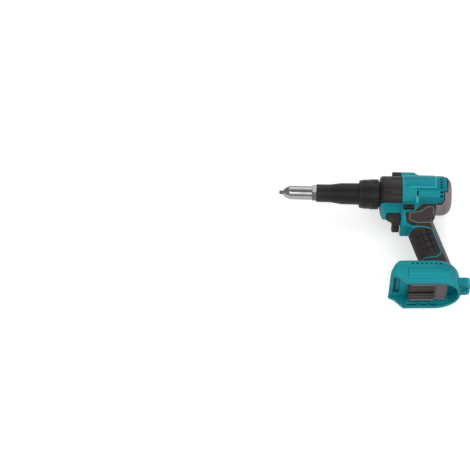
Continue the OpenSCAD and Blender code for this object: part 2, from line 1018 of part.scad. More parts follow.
module gear_case() {
  r = case_rounding;
  color(black)
    difference() {
      union() {
        rotate([0, 90, 0])
          rotate_extrude() {
            translate([0, r])
              square([case_radius, case_length - r]);
            square([case_radius - r, case_length]);
            translate([case_radius - r, r])
              circle(r = r);
          }
        bar(spigot_x, 1, spigot_radius);
        at_case_screws()
          bar(18, case_length, screw_rib_radius);
        pad(pad_start, lip_x);
      }
      bar(ring_x, far, ring_outer + fit);
      bar(nut_bearing_x + nut_bearing_width, ring_x + 1, nut_bearing_radius + 1.2);
      bar(nut_bearing_x, ring_x + 1, nut_bearing_radius + fit);
      bar(thrust_x, nut_bearing_x + 1, spigot_bore);
      bar(-far, 0, screw_radius + 1.2);
      at_case_screws()
        bar(16, far, case_screw_radius + fit);
    }
}

module lock_collar() {
  lip = sleeve_rear_radius + fit;
  step = -collar_gap - 13.5;
  notch_depth = 0.8;
  color(black)
    difference() {
      turned([[collar_x, lip], [collar_x, collar_front_radius - 1], [collar_x + 1, collar_front_radius],
        [collar_x + 8.4, collar_ring_radius - 0.7], [step - 0.6, collar_ring_radius - 0.7],
        [step, collar_ring_radius], [-collar_gap - 1, collar_ring_radius],
        [-collar_gap, collar_ring_radius - 1], [-collar_gap, spigot_radius + fit],
        [spigot_x - 2, spigot_radius + fit], [spigot_x - 2, lip]]);
      for (k = [0:collar_notches - 1])
        rotate([360 * k / collar_notches, 0, 0])
          translate([-collar_gap - 11, collar_ring_radius - notch_depth, -0.7])
            cube([far, 2, 1.4]);
    }
}

module nose_sleeve() {
  taper_start = sleeve_x + 22.4;
  taper_end = taper_start + 18.6;
  r = sleeve_front_radius;
  rear = sleeve_rear_radius;
  color(black)
    turned([[sleeve_x, tail_radius + fit], [sleeve_x, r - 0.8], [sleeve_x + 0.8, r], [taper_start, r],
      [taper_end, rear - 0.3], [collar_x, rear], [spigot_x - 2 + fit, rear],
      [spigot_x - 2 + fit, spigot_radius - 1], [spigot_x - fit, spigot_radius - 1],
      [spigot_x - fit, bush_radius + fit], [bush_x - fit, bush_radius + fit],
      [bush_x - fit, tail_radius + fit]]);
}

module lock_nut() {
  color(dark_steel)
    difference() {
      intersection() {
        translate([lock_nut_x + fit, 0, 0])
          rotate([30, 0, 0])
            rotate([0, 90, 0])
              cylinder(h = lock_nut_thickness - 2 * fit, r = lock_nut_flats / 2 / cos(30), $fn = 6);
        turned([[lock_nut_x, 0], [lock_nut_x, lock_nut_flats / 2 + 0.6],
          [lock_nut_x + 1.2, lock_nut_flats / 2 + 2.2], [sleeve_x - 1.2, lock_nut_flats / 2 + 2.2],
          [sleeve_x, lock_nut_flats / 2 + 0.6], [sleeve_x, 0]]);
      }
      bar(-far, 0, tail_radius + fit);
    }
}

module nose_housing() {
  ogive_radius = 34;
  shoulder = nose_x + ogive_length;
  seat = tip_radius + 1.55;
  color(steel)
    difference() {
      union() {
        intersection() {
          rotate([0, 90, 0])
            rotate_extrude()
              intersection() {
                translate([nose_radius - ogive_radius, shoulder])
                  circle(r = ogive_radius, $fn = 180);
                translate([0, nose_x])
                  square([far, ogive_length]);
              }
          bar(nose_x, shoulder, nose_radius);
        }
        bar(shoulder - 0.01, lock_nut_x, nose_radius);
        bar(lock_nut_x - 1, tail_end, tail_radius);
      }
      bar(jaw_case_x - clearance, 0, nose_bore);
      bar(-far, 0, seat - 0.8);
    }
}

module nosepiece() {
  seat = tip_radius + 0.75;
  tail = jaw_x - 0.5;
  color(dark_steel)
    turned([[tip_x, mandrel_bore / 2], [tip_x, tip_radius - 0.5], [tip_x + 0.5, tip_radius],
      [nose_x - 0.02, tip_radius], [nose_x - 0.02, seat + 0.4], [nose_x, seat + 0.4], [nose_x, seat - fit],
      [jaw_case_x - 1.5, seat - fit], [jaw_case_x - 1, seat - 0.6], [tail, 2.4],
      [tail, mandrel_bore / 2]]);
}

module rod_outline(slack) {
  intersection() {
    circle(r = rod_radius + slack);
    square([far, rod_flats + 2 * slack], center = true);
  }
}

module guide_bush() {
  color(brass)
    difference() {
      bar(bush_x, bush_x + bush_length, bush_radius);
      along(bush_x - 1, bush_x + bush_length + 1)
        rod_outline(running);
    }
}

module pull_rod() {
  color(steel) {
    along(rod_x, screw_x)
      rod_outline(0);
    bar(screw_x, screw_end, screw_radius);
  }
}

module jaw_case() {
  end = jaw_case_x + jaw_case_length;
  color(dark_steel)
    difference() {
      turned([[jaw_case_x, 0], [jaw_case_x, jaw_case_radius - 0.8], [jaw_case_x + 0.8, jaw_case_radius],
        [end - 0.6, jaw_case_radius], [end, jaw_case_radius - 0.6], [end, 0]]);
      turned([[jaw_case_x - 1, 0], [jaw_case_x - 1, cone_mouth], [jaw_case_x, cone_mouth],
        [jaw_case_x + cone_length, cone_end_radius], [rod_x, cone_end_radius], [rod_x, 0]]);
      along(rod_x - 1, end + 1)
        rod_outline(fit);
    }
}

// A third of a cone, cut by the slits between the jaws, with a bite for the mandrel
module jaw(k) {
  front_radius = cone_mouth + (jaw_x - jaw_case_x) * tan(jaw_angle) - clearance;
  back_radius = front_radius + jaw_length * tan(jaw_angle);
  color(steel)
    rotate([120 * (k - 1), 0, 0])
      difference() {
        turned([[jaw_x, 2.7], [jaw_x, front_radius], [jaw_x + jaw_length, back_radius],
          [jaw_x + jaw_length, 1.9], [jaw_x + 2, 1.9]]);
        rotate([60, 0, 0])
          translate([-far, -far, -jaw_slit / 2])
            cube([2 * far, 2 * far, far]);
        rotate([-60, 0, 0])
          translate([-far, -far, -far + jaw_slit / 2])
            cube([2 * far, 2 * far, far]);
      }
}

module jaw_1() {
  jaw(1);
}

module jaw_2() {
  jaw(2);
}

module jaw_3() {
  jaw(3);
}

module jaw_pusher() {
  color(dark_steel)
    turned([[pusher_x, 2], [pusher_x, 4.6], [pusher_x + 1, cone_end_radius - clearance],
      [pusher_x + pusher_length, cone_end_radius - clearance], [pusher_x + pusher_length, 2]]);
}

module jaw_spring() {
  color(steel)
    coil(pusher_x + pusher_length + 0.05, rod_x - 0.05, cone_end_radius - clearance - 1, 0.5, 3);
}

module drive_nut() {
  flange = spigot_bore - clearance;
  color(steel)
    difference() {
      turned([[flange_x, screw_radius + running], [flange_x, flange], [flange_x + flange_length, flange],
        [flange_x + flange_length, nut_radius], [carrier_x, nut_radius],
        [carrier_x, planet_orbit + 4], [carrier_x + carrier_length, planet_orbit + 4],
        [carrier_x + carrier_length, 4], [carrier_x + 1.5, 4],
        [carrier_x + 1.5, screw_radius + running]]);
      at_planets()
        bar(carrier_x - 1, carrier_x + carrier_length + 1, planet_pin_radius + fit);
    }
}

module at_planets() {
  for (k = [1:planets])
    at_planet(k)
      children();
}

module at_planet(k) {
  rotate([planet_angle(k), 0, 0])
    translate([0, 0, -planet_orbit])
      children();
}

module planet_pins() {
  color(steel)
    at_planets()
      bar(carrier_x + 0.2, planet_x + planet_width + 0.4, planet_pin_radius);
}

module planet_gear(k) {
  color(dark_steel)
    at_planet(k)
      rotate([-planet_angle(k), 0, 0])
        difference() {
          gear_body(planet_x, planet_width)
            rotate(planet_phase(k))
              gear_outline(planet_teeth);
          bar(planet_x - 1, planet_x + planet_width + 1, planet_pin_radius + running);
        }
}

module planet_gear_1() {
  planet_gear(1);
}

module planet_gear_2() {
  planet_gear(2);
}

module planet_gear_3() {
  planet_gear(3);
}

module sun_gear() {
  color(dark_steel)
    difference() {
      gear_body(planet_x, planet_width + 0.8)
        gear_outline(sun_teeth);
      bar(planet_x - 1, planet_x + planet_width + 2, shaft_radius + fit);
    }
}

module ring_gear() {
  color(dark_steel)
    difference() {
      bar(ring_x + fit, ring_x + ring_length, ring_outer);
      gear_body(ring_x - 1, ring_length + 2)
        rotate(planet_phase(1) * planet_teeth / ring_teeth)
          ring_space_outline();
    }
}

module bearing(start, width, bore, outer) {
  wall = (outer - bore) * 0.26;
  ball = (outer - bore) * 0.24 - 0.04;
  orbit = (outer + bore) / 2;
  balls = floor(PI * orbit / ball / 1.35);
  tube(start, start + width, outer, outer - wall);
  tube(start, start + width, bore + wall, bore);
  for (k = [0:balls - 1])
    rotate([360 * k / balls, 0, 0])
      translate([start + width / 2, orbit, 0])
        sphere(r = ball, $fn = 24);
}

module thrust_bearing() {
  bore = screw_radius + 3;
  outer = spigot_bore - clearance;
  orbit = (bore + outer) / 2;
  color(steel) {
    tube(thrust_x, thrust_x + 1, outer, bore);
    tube(thrust_x + thrust_length - 1, thrust_x + thrust_length, outer, bore);
    for (k = [0:23])
      rotate([15 * k, 0, 0])
        translate([thrust_x + thrust_length / 2, orbit, 0])
          sphere(r = thrust_length / 2 - 1 - fit, $fn = 24);
  }
}

module nut_bearing() {
  color(steel)
    bearing(nut_bearing_x, nut_bearing_width, nut_radius + running, nut_bearing_radius);
}

module mount_plate() {
  color(dark_steel)
    difference() {
      bar(mount_plate_x, case_length - fit, ring_outer);
      bar(front_bearing_x, far, front_bearing_radius + fit);
      bar(mount_plate_x - 1, far, planet_orbit / 2 + 0.6);
    }
}

module front_bearing() {
  color(steel)
    bearing(front_bearing_x, front_bearing_width, shaft_radius + running, front_bearing_radius);
}

module rear_bearing() {
  color(steel)
    bearing(rear_bearing_x, rear_bearing_width, shaft_radius + running, rear_bearing_radius);
}

module motor_shaft() {
  color(steel)
    bar(planet_x, shaft_end, shaft_radius);
}

module rotor_core() {
  color(dark_steel)
    tube(stator_x, stator_x + stator_length, stator_bore / 2 - air_gap, shaft_radius + fit);
}

module stator_core() {
  root = stator_bore / 2;
  slot_width = 8;
  yoke = 3.4;
  color(dark_steel)
    along(stator_x, stator_x + stator_length)
      difference() {
        circle(r = stator_radius);
        circle(r = root);
        for (k = [0:stator_slots - 1])
          rotate(360 * k / stator_slots)
            translate([root + 1.6, -slot_width / 2])
              square([stator_radius - yoke - root - 1.6, slot_width]);
      }
}

module stator_coils() {
  color(copper)
    for (x = [stator_x - 5, stator_x + stator_length + fit])
      tube(x, x + 5 - fit, stator_radius - 3.6, stator_bore / 2 + 1.8);
}

module fan() {
  color(black)
    difference() {
      union() {
        bar(fan_x, fan_x + 1.6, fan_radius);
        bar(fan_x, fan_x + fan_length, 6);
        for (k = [0:fan_blades - 1])
          rotate([360 * k / fan_blades, 0, 0])
            translate([fan_x, 9, -0.6])
              cube([fan_length, fan_radius - 9.6, 1.2]);
      }
      bar(fan_x - 1, fan_x + fan_length + 1, shaft_radius + fit);
    }
}

// Side outline of the trigger with the hollow for the finger
module trigger_outline() {
  finger = 6.9;
  lip = trigger_front + 7.9;
  difference() {
    polygon([[trigger_front, trigger_top], [trigger_front + 0.2, trigger_top - 0.9],
      [trigger_front + 2.6, trigger_top - 2.8], [trigger_front + 5.6, trigger_top - 5.2],
      [lip, trigger_low + 9.2], [lip, trigger_low + 5.2], [lip + 0.7, trigger_low + 2.4],
      [lip + 2.5, trigger_low + 0.6], [lip + 4.6, trigger_low], [trigger_rear - 3.6, trigger_low],
      [trigger_rear - 1.6, trigger_low + 0.8], [trigger_rear - 0.8, trigger_low + 9.2],
      [trigger_rear, trigger_top]]);
    translate([trigger_front + 3.3, trigger_top - 11.8])
      circle(r = finger);
  }
}

module trigger() {
  color(black)
    difference() {
      intersection() {
        across(-trigger_half_width, trigger_half_width)
          trigger_outline();
        along(0, far)
          rounded_box_outline(-trigger_half_width, trigger_low, trigger_half_width, 0, 3);
      }
      translate([trigger_rear - 9, plunger_y, 0])
        bar(0, far, plunger_radius + fit);
    }
}

module switch_plunger() {
  color(black)
    translate([0, plunger_y, 0])
      bar(trigger_rear - 9, switch_x + 4, plunger_radius);
}

module trigger_spring() {
  color(steel)
    translate([0, plunger_y, 0])
      coil(trigger_rear + 0.05, switch_x - 0.05, plunger_radius + 1.3, 0.45, 4);
}

module switch_outline() {
  polygon([[switch_x, -44], [switch_x + 24.4, -44], [switch_x + 30, -78], [switch_x + 11, -78],
    [switch_x + 5, -70], [switch_x, -65]]);
}

module switch_module() {
  color(black)
    difference() {
      across(-switch_half_width, switch_half_width)
        switch_outline();
      translate([0, plunger_y, 0])
        bar(switch_x - 1, switch_x + 5 + trigger_travel, plunger_radius + running);
    }
}

module direction_selector() {
  neck = 5;
  color(black)
    difference() {
      across(-selector_half_width, selector_half_width)
        translate([selector_x, selector_top - selector_height])
          rounded_box_outline(0, 0, selector_length, selector_height, 1);
      for (s = [-1, 1])
        translate([selector_x + selector_length / 2, selector_top - selector_height / 2,
          s * (selector_half_width + 0.6)])
          rotate([0, 90, 0])
            cylinder(h = neck, r = 1.4, center = true, $fn = 24);
    }
}

module terminal_block() {
  top = -foot_plate + foot_floor;
  low = -terminal_depth;
  color(rubber)
    in_foot()
      difference() {
        union() {
          translate([terminal_x, low, -terminal_half_width])
            cube([terminal_length - 19, top + 1 - low, 2 * terminal_half_width]);
          translate([terminal_x + terminal_length - 20, low + 2, -terminal_half_width])
            cube([20, top - 1 - low, 2 * terminal_half_width]);
          translate([terminal_x - 2, top + fit, -terminal_half_width - 2])
            cube([terminal_length + 4, terminal_rim, 2 * terminal_half_width + 4]);
        }
        for (z = contact_rows)
          translate([terminal_x - 1, low - 1, z - contact_half - clearance])
            cube([terminal_length - 20, 11, 2 * (contact_half + clearance)]);
        for (z = contact_rows)
          translate([terminal_x + 8 - fit, low, z - contact_half - fit])
            cube([24 + 2 * fit, far, 2 * (contact_half + fit)]);
        translate([terminal_x - 1, low - 1, -4])
          cube([terminal_length - 20, 6, 8]);
      }
}

module battery_contacts() {
  color(brass)
    in_foot()
      for (z = contact_rows)
        translate([terminal_x + 8, -terminal_depth + 1.5, z - contact_half])
          cube([24, block_top + terminal_depth - 1.5, 2 * contact_half]);
}

// The board lies potted in a tray on top of the terminal block
module controller_board() {
  tray = block_top + fit;
  board = tray + 3;
  color(board_green)
    in_foot() {
      translate([terminal_x, tray, -terminal_half_width])
        cube([terminal_length - 4, 3.2, 2 * terminal_half_width]);
      translate([terminal_x - 2, board, -26])
        cube([terminal_length, 1.6, 52]);
      for (s = [-1, 1])
        translate([terminal_x + 8, board + 1.4, s * 15 - 5])
          cube([26, 5, 10]);
    }
}

module housing_screws() {
  color(steel)
    for (p = body_screws)
      translate([p[0], p[1], 0]) {
        translate([0, 0, -p[2]])
          cylinder(h = p[2] + 7.5, r = body_screw_radius);
        translate([0, 0, -p[2] - 2.4])
          cylinder(h = 2.4, r = body_head_radius);
      }
}

module gear_case_screws() {
  color(steel)
    at_case_screws() {
      bar(18, ring_end - 0.5, case_screw_radius);
      bar(ring_end - 0.5, ring_end + 2, case_head_radius);
    }
}

module cover_screws() {
  color(steel)
    for (s = [-1, 1])
      translate([0, 0, s * cover_screw_z]) {
        bar(bridge_x + 0.5, cover_reach - 4, cover_screw_radius);
        bar(cover_reach - 4, cover_reach - 1.6, 2.8);
      }
}

placed() {
  left_housing();
  right_housing();
  left_grip();
  right_grip();
  rear_cover();
  gear_case();
  lock_collar();
  nose_sleeve();
  lock_nut();
  nose_housing();
  nosepiece();
  guide_bush();
  jaw_case();
  jaw_1();
  jaw_2();
  jaw_3();
  jaw_pusher();
  jaw_spring();
  pull_rod();
  drive_nut();
  planet_pins();
  thrust_bearing();
  nut_bearing();
  ring_gear();
  planet_gear_1();
  planet_gear_2();
  planet_gear_3();
  sun_gear();
  motor_shaft();
  rotor_core();
  fan();
  stator_core();
  stator_coils();
  mount_plate();
  front_bearing();
  rear_bearing();
  trigger();
  switch_plunger();
  trigger_spring();
  switch_module();
  direction_selector();
  terminal_block();
  battery_contacts();
  controller_board();
  housing_screws();
  gear_case_screws();
  cover_screws();
}
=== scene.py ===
"""Battery rivet tool on its right side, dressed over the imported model. Metres, in the model's own frame."""
import math

import bmesh
import bpy
from mathutils import Matrix, Vector
from mathutils.bvhtree import BVHTree
from mathutils.geometry import delaunay_2d_cdt


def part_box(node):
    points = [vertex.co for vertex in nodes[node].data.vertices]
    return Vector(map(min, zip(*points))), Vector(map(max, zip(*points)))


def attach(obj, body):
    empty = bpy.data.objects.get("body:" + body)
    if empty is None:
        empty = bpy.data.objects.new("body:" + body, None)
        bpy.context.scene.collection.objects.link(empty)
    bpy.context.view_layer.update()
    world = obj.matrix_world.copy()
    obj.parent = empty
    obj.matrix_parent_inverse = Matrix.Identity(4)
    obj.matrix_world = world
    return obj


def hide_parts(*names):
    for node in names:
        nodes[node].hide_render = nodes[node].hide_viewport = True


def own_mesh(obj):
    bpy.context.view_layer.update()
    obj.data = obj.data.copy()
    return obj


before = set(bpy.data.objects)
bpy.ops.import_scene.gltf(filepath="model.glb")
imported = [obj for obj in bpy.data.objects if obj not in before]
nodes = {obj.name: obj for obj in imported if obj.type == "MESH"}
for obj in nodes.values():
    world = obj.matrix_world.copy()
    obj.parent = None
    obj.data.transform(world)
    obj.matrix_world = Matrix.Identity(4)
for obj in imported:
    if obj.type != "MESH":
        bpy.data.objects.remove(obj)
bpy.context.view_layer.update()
scene = bpy.context.scene

# Places and sizes of pieces are in millimetres about the barrel axis, from the gear case's front face
MM = 0.001
NOSE_REACH = 163.1
tip_low, tip_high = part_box("nosepiece")
FRONT_X = tip_low[0] / MM + NOSE_REACH
AXIS_Y = (tip_low[1] + tip_high[1]) / 2 / MM
AXIS_Z = (tip_low[2] + tip_high[2]) / 2 / MM

# A place near the top of the handle's lower pad, and the handle's slant
HANDLE_X = 69.9
HANDLE_Y = -83
HANDLE_TILT = math.radians(17.5)


def at(x, y, z):
    """A point of the model from millimetres: x to the rear, y to the top, z to the left."""
    return Vector(((x + FRONT_X) * MM, (y + AXIS_Y) * MM, (z + AXIS_Z) * MM))


def turned(x, y, angle):
    """A flat point turned about the origin."""
    return x * math.cos(angle) - y * math.sin(angle), x * math.sin(angle) + y * math.cos(angle)


def between(span, share):
    """A value on the way from the first of a pair to the second."""
    return span[0] + (span[1] - span[0]) * share


def blend(p, q, share):
    """A flat point on the way from p to q."""
    return tuple(between(pair, share) for pair in zip(p, q))


# Shader nodes, with the sockets by which a mix node mixes colours

MIX_BODY, MIX_COLOUR, MIX_RESULT = 6, 7, 2
WORN_EDGE = ((0.51, 0.0), (0.6, 1.0))


def grey(value):
    return (value, value, value)


def new_material(name):
    """A material, its node tree and its shader."""
    material = bpy.data.materials.new(name)
    material.use_nodes = True
    tree = material.node_tree
    return material, tree, tree.nodes["Principled BSDF"]


def object_coords(tree, scale):
    """The object's own coordinates, times a scale."""
    coords = tree.nodes.new("ShaderNodeTexCoord")
    mapping = tree.nodes.new("ShaderNodeMapping")
    mapping.inputs["Scale"].default_value = scale
    tree.links.new(coords.outputs["Object"], mapping.inputs["Vector"])
    return mapping.outputs["Vector"]


def axes_at(tree, centre, tilt, unit):
    """Coordinates counted from a place on the side of the object, along turned axes, in a unit for each."""
    vector = object_coords(tree, unit)
    mapping = vector.node
    mapping.vector_type = "TEXTURE"
    mapping.inputs["Location"].default_value = centre
    mapping.inputs["Rotation"].default_value = (0, 0, tilt)
    axes = tree.nodes.new("ShaderNodeSeparateXYZ")
    tree.links.new(vector, axes.inputs[0])
    return axes.outputs


def noise(tree, vector, scale, detail, rough=0.5):
    node = tree.nodes.new("ShaderNodeTexNoise")
    node.inputs["Scale"].default_value = scale
    node.inputs["Detail"].default_value = detail
    node.inputs["Roughness"].default_value = rough
    tree.links.new(vector, node.inputs["Vector"])
    return node.outputs["Fac"]


def ramp(tree, fac, stops):
    """A colour ramp from pairs of position and colour."""
    node = tree.nodes.new("ShaderNodeValToRGB")
    elements = node.color_ramp.elements
    for i, (position, colour) in enumerate(stops):
        element = elements[i] if i < 2 else elements.new(position)
        element.position = position
        element.color = (*colour, 1.0)
    tree.links.new(fac, node.inputs["Fac"])
    return node.outputs["Color"]


def fade(tree, fac, *stops):
    """A grey ramp from pairs of position and brightness."""
    return ramp(tree, fac, [(position, grey(value)) for position, value in stops])


def bump(tree, height, strength, distance, normal=None):
    node = tree.nodes.new("ShaderNodeBump")
    node.inputs["Strength"].default_value = strength
    node.inputs["Distance"].default_value = distance
    tree.links.new(height, node.inputs["Height"])
    if normal is not None:
        tree.links.new(normal, node.inputs["Normal"])
    return node.outputs["Normal"]


def edge_wear(tree):
    """A mask that is bright on convex edges."""
    geometry = tree.nodes.new("ShaderNodeNewGeometry")
    return fade(tree, geometry.outputs["Pointiness"], *WORN_EDGE)


def mix(tree, mask, body, colour):
    """A colour laid over another by a mask."""
    node = tree.nodes.new("ShaderNodeMix")
    node.data_type = "RGBA"
    tree.links.new(mask, node.inputs["Factor"])
    tree.links.new(body, node.inputs[MIX_BODY])
    node.inputs[MIX_COLOUR].default_value = (*colour, 1.0)
    return node.outputs[MIX_RESULT]


def math_node(tree, operation, *values):
    """A sum on numbers or sockets."""
    node = tree.nodes.new("ShaderNodeMath")
    node.operation = operation
    for socket, value in zip(node.inputs, values):
        if isinstance(value, (int, float)):
            socket.default_value = value
        else:
            tree.links.new(value, socket)
    return node.outputs[0]


# Masks of single places, in shares of their size

FOOT_PANEL_PLACE = at(72.8, -176, 0)
FOOT_PANEL_TILT = math.radians(1.5)
FOOT_PANEL_HALF = (0.0335, 0.011, 1)
HANDLE_UNIT = grey(0.03)
COVER_MIDDLE = at(0, -6, 0)
COVER_UNIT = grey(0.03)


def foot_panel(tree):
    """Height of the bare panel moulded into the foot's side, with two ledges along it, and a mask of painted
    highlights along its ledges and ends.
    """
    axes = axes_at(tree, FOOT_PANEL_PLACE, FOOT_PANEL_TILT, FOOT_PANEL_HALF)
    level = math_node(tree, "MULTIPLY_ADD", axes["Y"], 0.5, 0.5)
    across = fade(tree, math_node(tree, "ABSOLUTE", axes["X"]), (0.965, 1.0), (0.995, 0.0))
    tall = fade(tree, math_node(tree, "ABSOLUTE", axes["Y"]), (0.9, 1.0), (1.0, 0.0))
    ledges = fade(tree, level, (0.0, 0.0), (0.07, 0.45), (0.2, 0.45), (0.28, 0.8), (0.45, 0.8),
                  (0.53, 1.0), (0.92, 1.0), (1.0, 0.0))
    # Bright bands along the ledges: a painted highlight
    edges = fade(tree, level, (0.0, 0.0), (0.04, 0.5), (0.09, 0.0), (0.19, 0.0), (0.24, 0.6),
                 (0.3, 0.0), (0.43, 0.0), (0.49, 1.0), (0.56, 0.0), (1.0, 0.0))
    # A bright band at each end of the panel: a painted highlight
    ends = fade(tree, axes["X"], (0.93, 0.0), (0.965, 0.9), (1.0, 0.0))
    height = math_node(tree, "MULTIPLY", across, ledges)
    ledge_highlight = math_node(tree, "MULTIPLY", across, edges)
    end_highlight = math_node(tree, "MULTIPLY", tall, ends)
    return height, math_node(tree, "MAXIMUM", ledge_highlight, end_highlight)


def handle_back(tree):
    """A mask that grows from the side of the handle to its back, and is weaker above, beside the barrel."""
    axes = axes_at(tree, at(HANDLE_X, HANDLE_Y, 0), HANDLE_TILT, HANDLE_UNIT)
    rear = fade(tree, axes["X"], (0.42, 0.0), (0.54, 1.0))
    below = fade(tree, axes["Y"], (0.55, 1.0), (0.85, 0.25))
    return math_node(tree, "MULTIPLY", rear, below)


def cover_top(tree):
    """A mask that grows from the middle of the rear cover to its top, where the cover is darker."""
    axes = axes_at(tree, COVER_MIDDLE, 0, COVER_UNIT)
    return fade(tree, axes["Y"], (0.0, 0.0), (0.6, 1.0))


# Materials

CLOUD_SCALE = 38
CLOUD_SHADE = 0.86
PANEL_DEPTH = 0.0016
# Gain and lift of the lighter colour that paints highlights along a panel's lines
HIGHLIGHT_GAIN, HIGHLIGHT_LIFT = 2.1, 0.035
ROUGH_SPREAD = 0.07
GRAIN_STRENGTH = 0.35
TURNED_LINES = (2600, 40, 40)
DRAWN_LINES = (40, 1400, 1400)
STAIN_SCALE = 90
STAIN_SHADE = 0.82
LINE_STRENGTH, LINE_DEPTH = 0.1, 0.000006


def moulded(name, base, light, rough, grain, depth, gloss, panel=None, tint=None):
    """Moulded plastic or rubber: faint mottling, a spark-eroded grain and slightly polished edges."""
    material, tree, shader = new_material(name)
    vector = object_coords(tree, grey(1))
    cloud = noise(tree, vector, CLOUD_SCALE, 3.0)
    body = ramp(tree, cloud, [(0.3, tuple(c * CLOUD_SHADE for c in base)), (0.7, base)])
    normal = None
    if panel is not None:
        height, lines = panel(tree)
        normal = bump(tree, height, 1.0, PANEL_DEPTH)
        # A panel's lines get a lighter colour: a painted highlight along its ledges
        body = mix(tree, lines, body, tuple(HIGHLIGHT_GAIN * c + HIGHLIGHT_LIFT for c in base))
    if tint is not None:
        mask, colour = tint
        body = mix(tree, mask(tree), body, colour)
    speck = noise(tree, vector, grain, 2.0, 0.6)
    roughness = fade(tree, speck, (0.25, rough - ROUGH_SPREAD), (0.75, rough + ROUGH_SPREAD))
    tree.links.new(mix(tree, edge_wear(tree), body, light), shader.inputs["Base Color"])
    tree.links.new(roughness, shader.inputs["Roughness"])
    tree.links.new(bump(tree, speck, GRAIN_STRENGTH, depth, normal), shader.inputs["Normal"])
    shader.inputs["Specular IOR Level"].default_value = gloss
    return material


def metal(name, base, rough, streak, lines=TURNED_LINES):
    """Machined metal: fine lines round the axis, or along it, and faint stains."""
    material, tree, shader = new_material(name)
    fine = noise(tree, object_coords(tree, lines), 1.0, 3.0, 0.65)
    stain = noise(tree, object_coords(tree, grey(1)), STAIN_SCALE, 3.0)
    shade = ramp(tree, stain, [(0.3, tuple(c * STAIN_SHADE for c in base)), (0.75, base)])
    roughness = fade(tree, fine, (0.2, rough - streak), (0.8, rough + streak))
    tree.links.new(shade, shader.inputs["Base Color"])
    tree.links.new(roughness, shader.inputs["Roughness"])
    tree.links.new(bump(tree, fine, LINE_STRENGTH, LINE_DEPTH), shader.inputs["Normal"])
    shader.inputs["Metallic"].default_value = 1.0
    return material


TEAL = moulded("teal_moulding", (0.003, 0.238, 0.29), (0.012, 0.34, 0.385),
               rough=0.46, grain=2600, depth=0.00005, gloss=0.11, panel=foot_panel)
TEAL_PLATE = moulded("teal_plate", (0.003, 0.285, 0.36), (0.03, 0.44, 0.49),
                     rough=0.36, grain=3400, depth=0.00003, gloss=0.12)
# Lighter teal that paints highlights on the plate's rim and on the ramp behind the ring
TEAL_HIGHLIGHT = moulded("teal_painted_highlight", (0.06, 0.56, 0.62), (0.09, 0.62, 0.68),
                    rough=0.4, grain=3000, depth=0.00003, gloss=0.2)
# Dark teal that paints the shade in the latch pocket and along the rail channels
TEAL_SHADE = moulded("teal_painted_shade", (0.003, 0.045, 0.07), (0.006, 0.07, 0.1),
                    rough=0.5, grain=2600, depth=0.00005, gloss=0.1)
BLACK = moulded("black_moulding", (0.016, 0.0135, 0.013), (0.042, 0.037, 0.035),
                rough=0.42, grain=2300, depth=0.00006, gloss=0.22)
CONTROL = moulded("control_moulding", (0.0105, 0.009, 0.0088), (0.028, 0.025, 0.024),
                  rough=0.46, grain=2300, depth=0.00006, gloss=0.13)
RUBBER = moulded("soft_overmould", (0.020, 0.0165, 0.016), (0.036, 0.030, 0.028),
                 rough=0.62, grain=1700, depth=0.00009, gloss=0.2, tint=(handle_back, (0.16, 0.137, 0.141)))
RUBBER_PALE = moulded("soft_panel", (0.052, 0.042, 0.040), (0.088, 0.073, 0.069),
                      rough=0.60, grain=1700, depth=0.00009, gloss=0.2)
RUBBER_BLOCK = moulded("soft_block", (0.031, 0.026, 0.0255), (0.046, 0.039, 0.037),
                       rough=0.60, grain=1700, depth=0.00009, gloss=0.2)
# Near-black that paints the shade in the pad's grooves and in the seam round the rear cover
GROOVE_SHADE = moulded("groove_painted_shade", (0.010, 0.009, 0.009), (0.016, 0.014, 0.014),
                        rough=0.7, grain=1700, depth=0.00009, gloss=0.1)
COVER = moulded("cover_rubber", (0.298, 0.250, 0.248), (0.385, 0.335, 0.33),
                rough=0.56, grain=1700, depth=0.00009, gloss=0.25, tint=(cover_top, (0.085, 0.074, 0.074)))
PALE_TRIM = moulded("pale_trim", (0.15, 0.205, 0.19), (0.25, 0.31, 0.29),
                    rough=0.5, grain=2200, depth=0.00004, gloss=0.2)
TERMINAL = moulded("terminal_moulding", (0.036, 0.029, 0.027), (0.08, 0.07, 0.066),
                   rough=0.48, grain=2300, depth=0.00006, gloss=0.2)
# Pale grey that paints the highlights along the terminal block's edges
TERMINAL_HIGHLIGHT = moulded("terminal_painted_highlight", (0.30, 0.28, 0.28), (0.4, 0.38, 0.38),
                        rough=0.45, grain=2300, depth=0.00004, gloss=0.25)
TERMINAL_GREY = moulded("terminal_grey", (0.135, 0.122, 0.122), (0.26, 0.24, 0.24),
                        rough=0.48, grain=2300, depth=0.00006, gloss=0.2)
# Near-black that paints the shade inside the vents
VENT_SHADE = moulded("vent_painted_shade", (0.006, 0.0065, 0.007), (0.012, 0.012, 0.013),
                 rough=0.75, grain=5200, depth=0.0002, gloss=0.05)
BOARD = moulded("board_potting", (0.016, 0.075, 0.035), (0.05, 0.15, 0.08),
                rough=0.35, grain=1800, depth=0.00008, gloss=0.3)
CHROME = metal("bright_nose", (0.41, 0.40, 0.398), rough=0.15, streak=0.04)
PLATED = metal("plated_nut", (0.36, 0.353, 0.35), rough=0.2, streak=0.05)
BLACK_STEEL = metal("blackened_screw", (0.03, 0.028, 0.028), rough=0.5, streak=0.08)
DARK_STEEL = metal("blackened_steel", (0.15, 0.145, 0.145), rough=0.34, streak=0.08)
STEEL = metal("ground_steel", (0.56, 0.565, 0.58), rough=0.26, streak=0.08)
IRON = metal("stacked_iron", (0.26, 0.26, 0.275), rough=0.42, streak=0.1)
BRASS = metal("turned_brass", (0.70, 0.53, 0.24), rough=0.26, streak=0.06)
ALLOY = metal("cast_alloy", (0.5, 0.5, 0.52), rough=0.45, streak=0.1, lines=DRAWN_LINES)
COPPER = metal("lacquered_copper", (0.66, 0.30, 0.15), rough=0.3, streak=0.06, lines=DRAWN_LINES)
CONTACT = metal("plated_contact", (0.72, 0.62, 0.40), rough=0.25, streak=0.05, lines=DRAWN_LINES)


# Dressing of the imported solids: material and rounding of the edges in millimetres

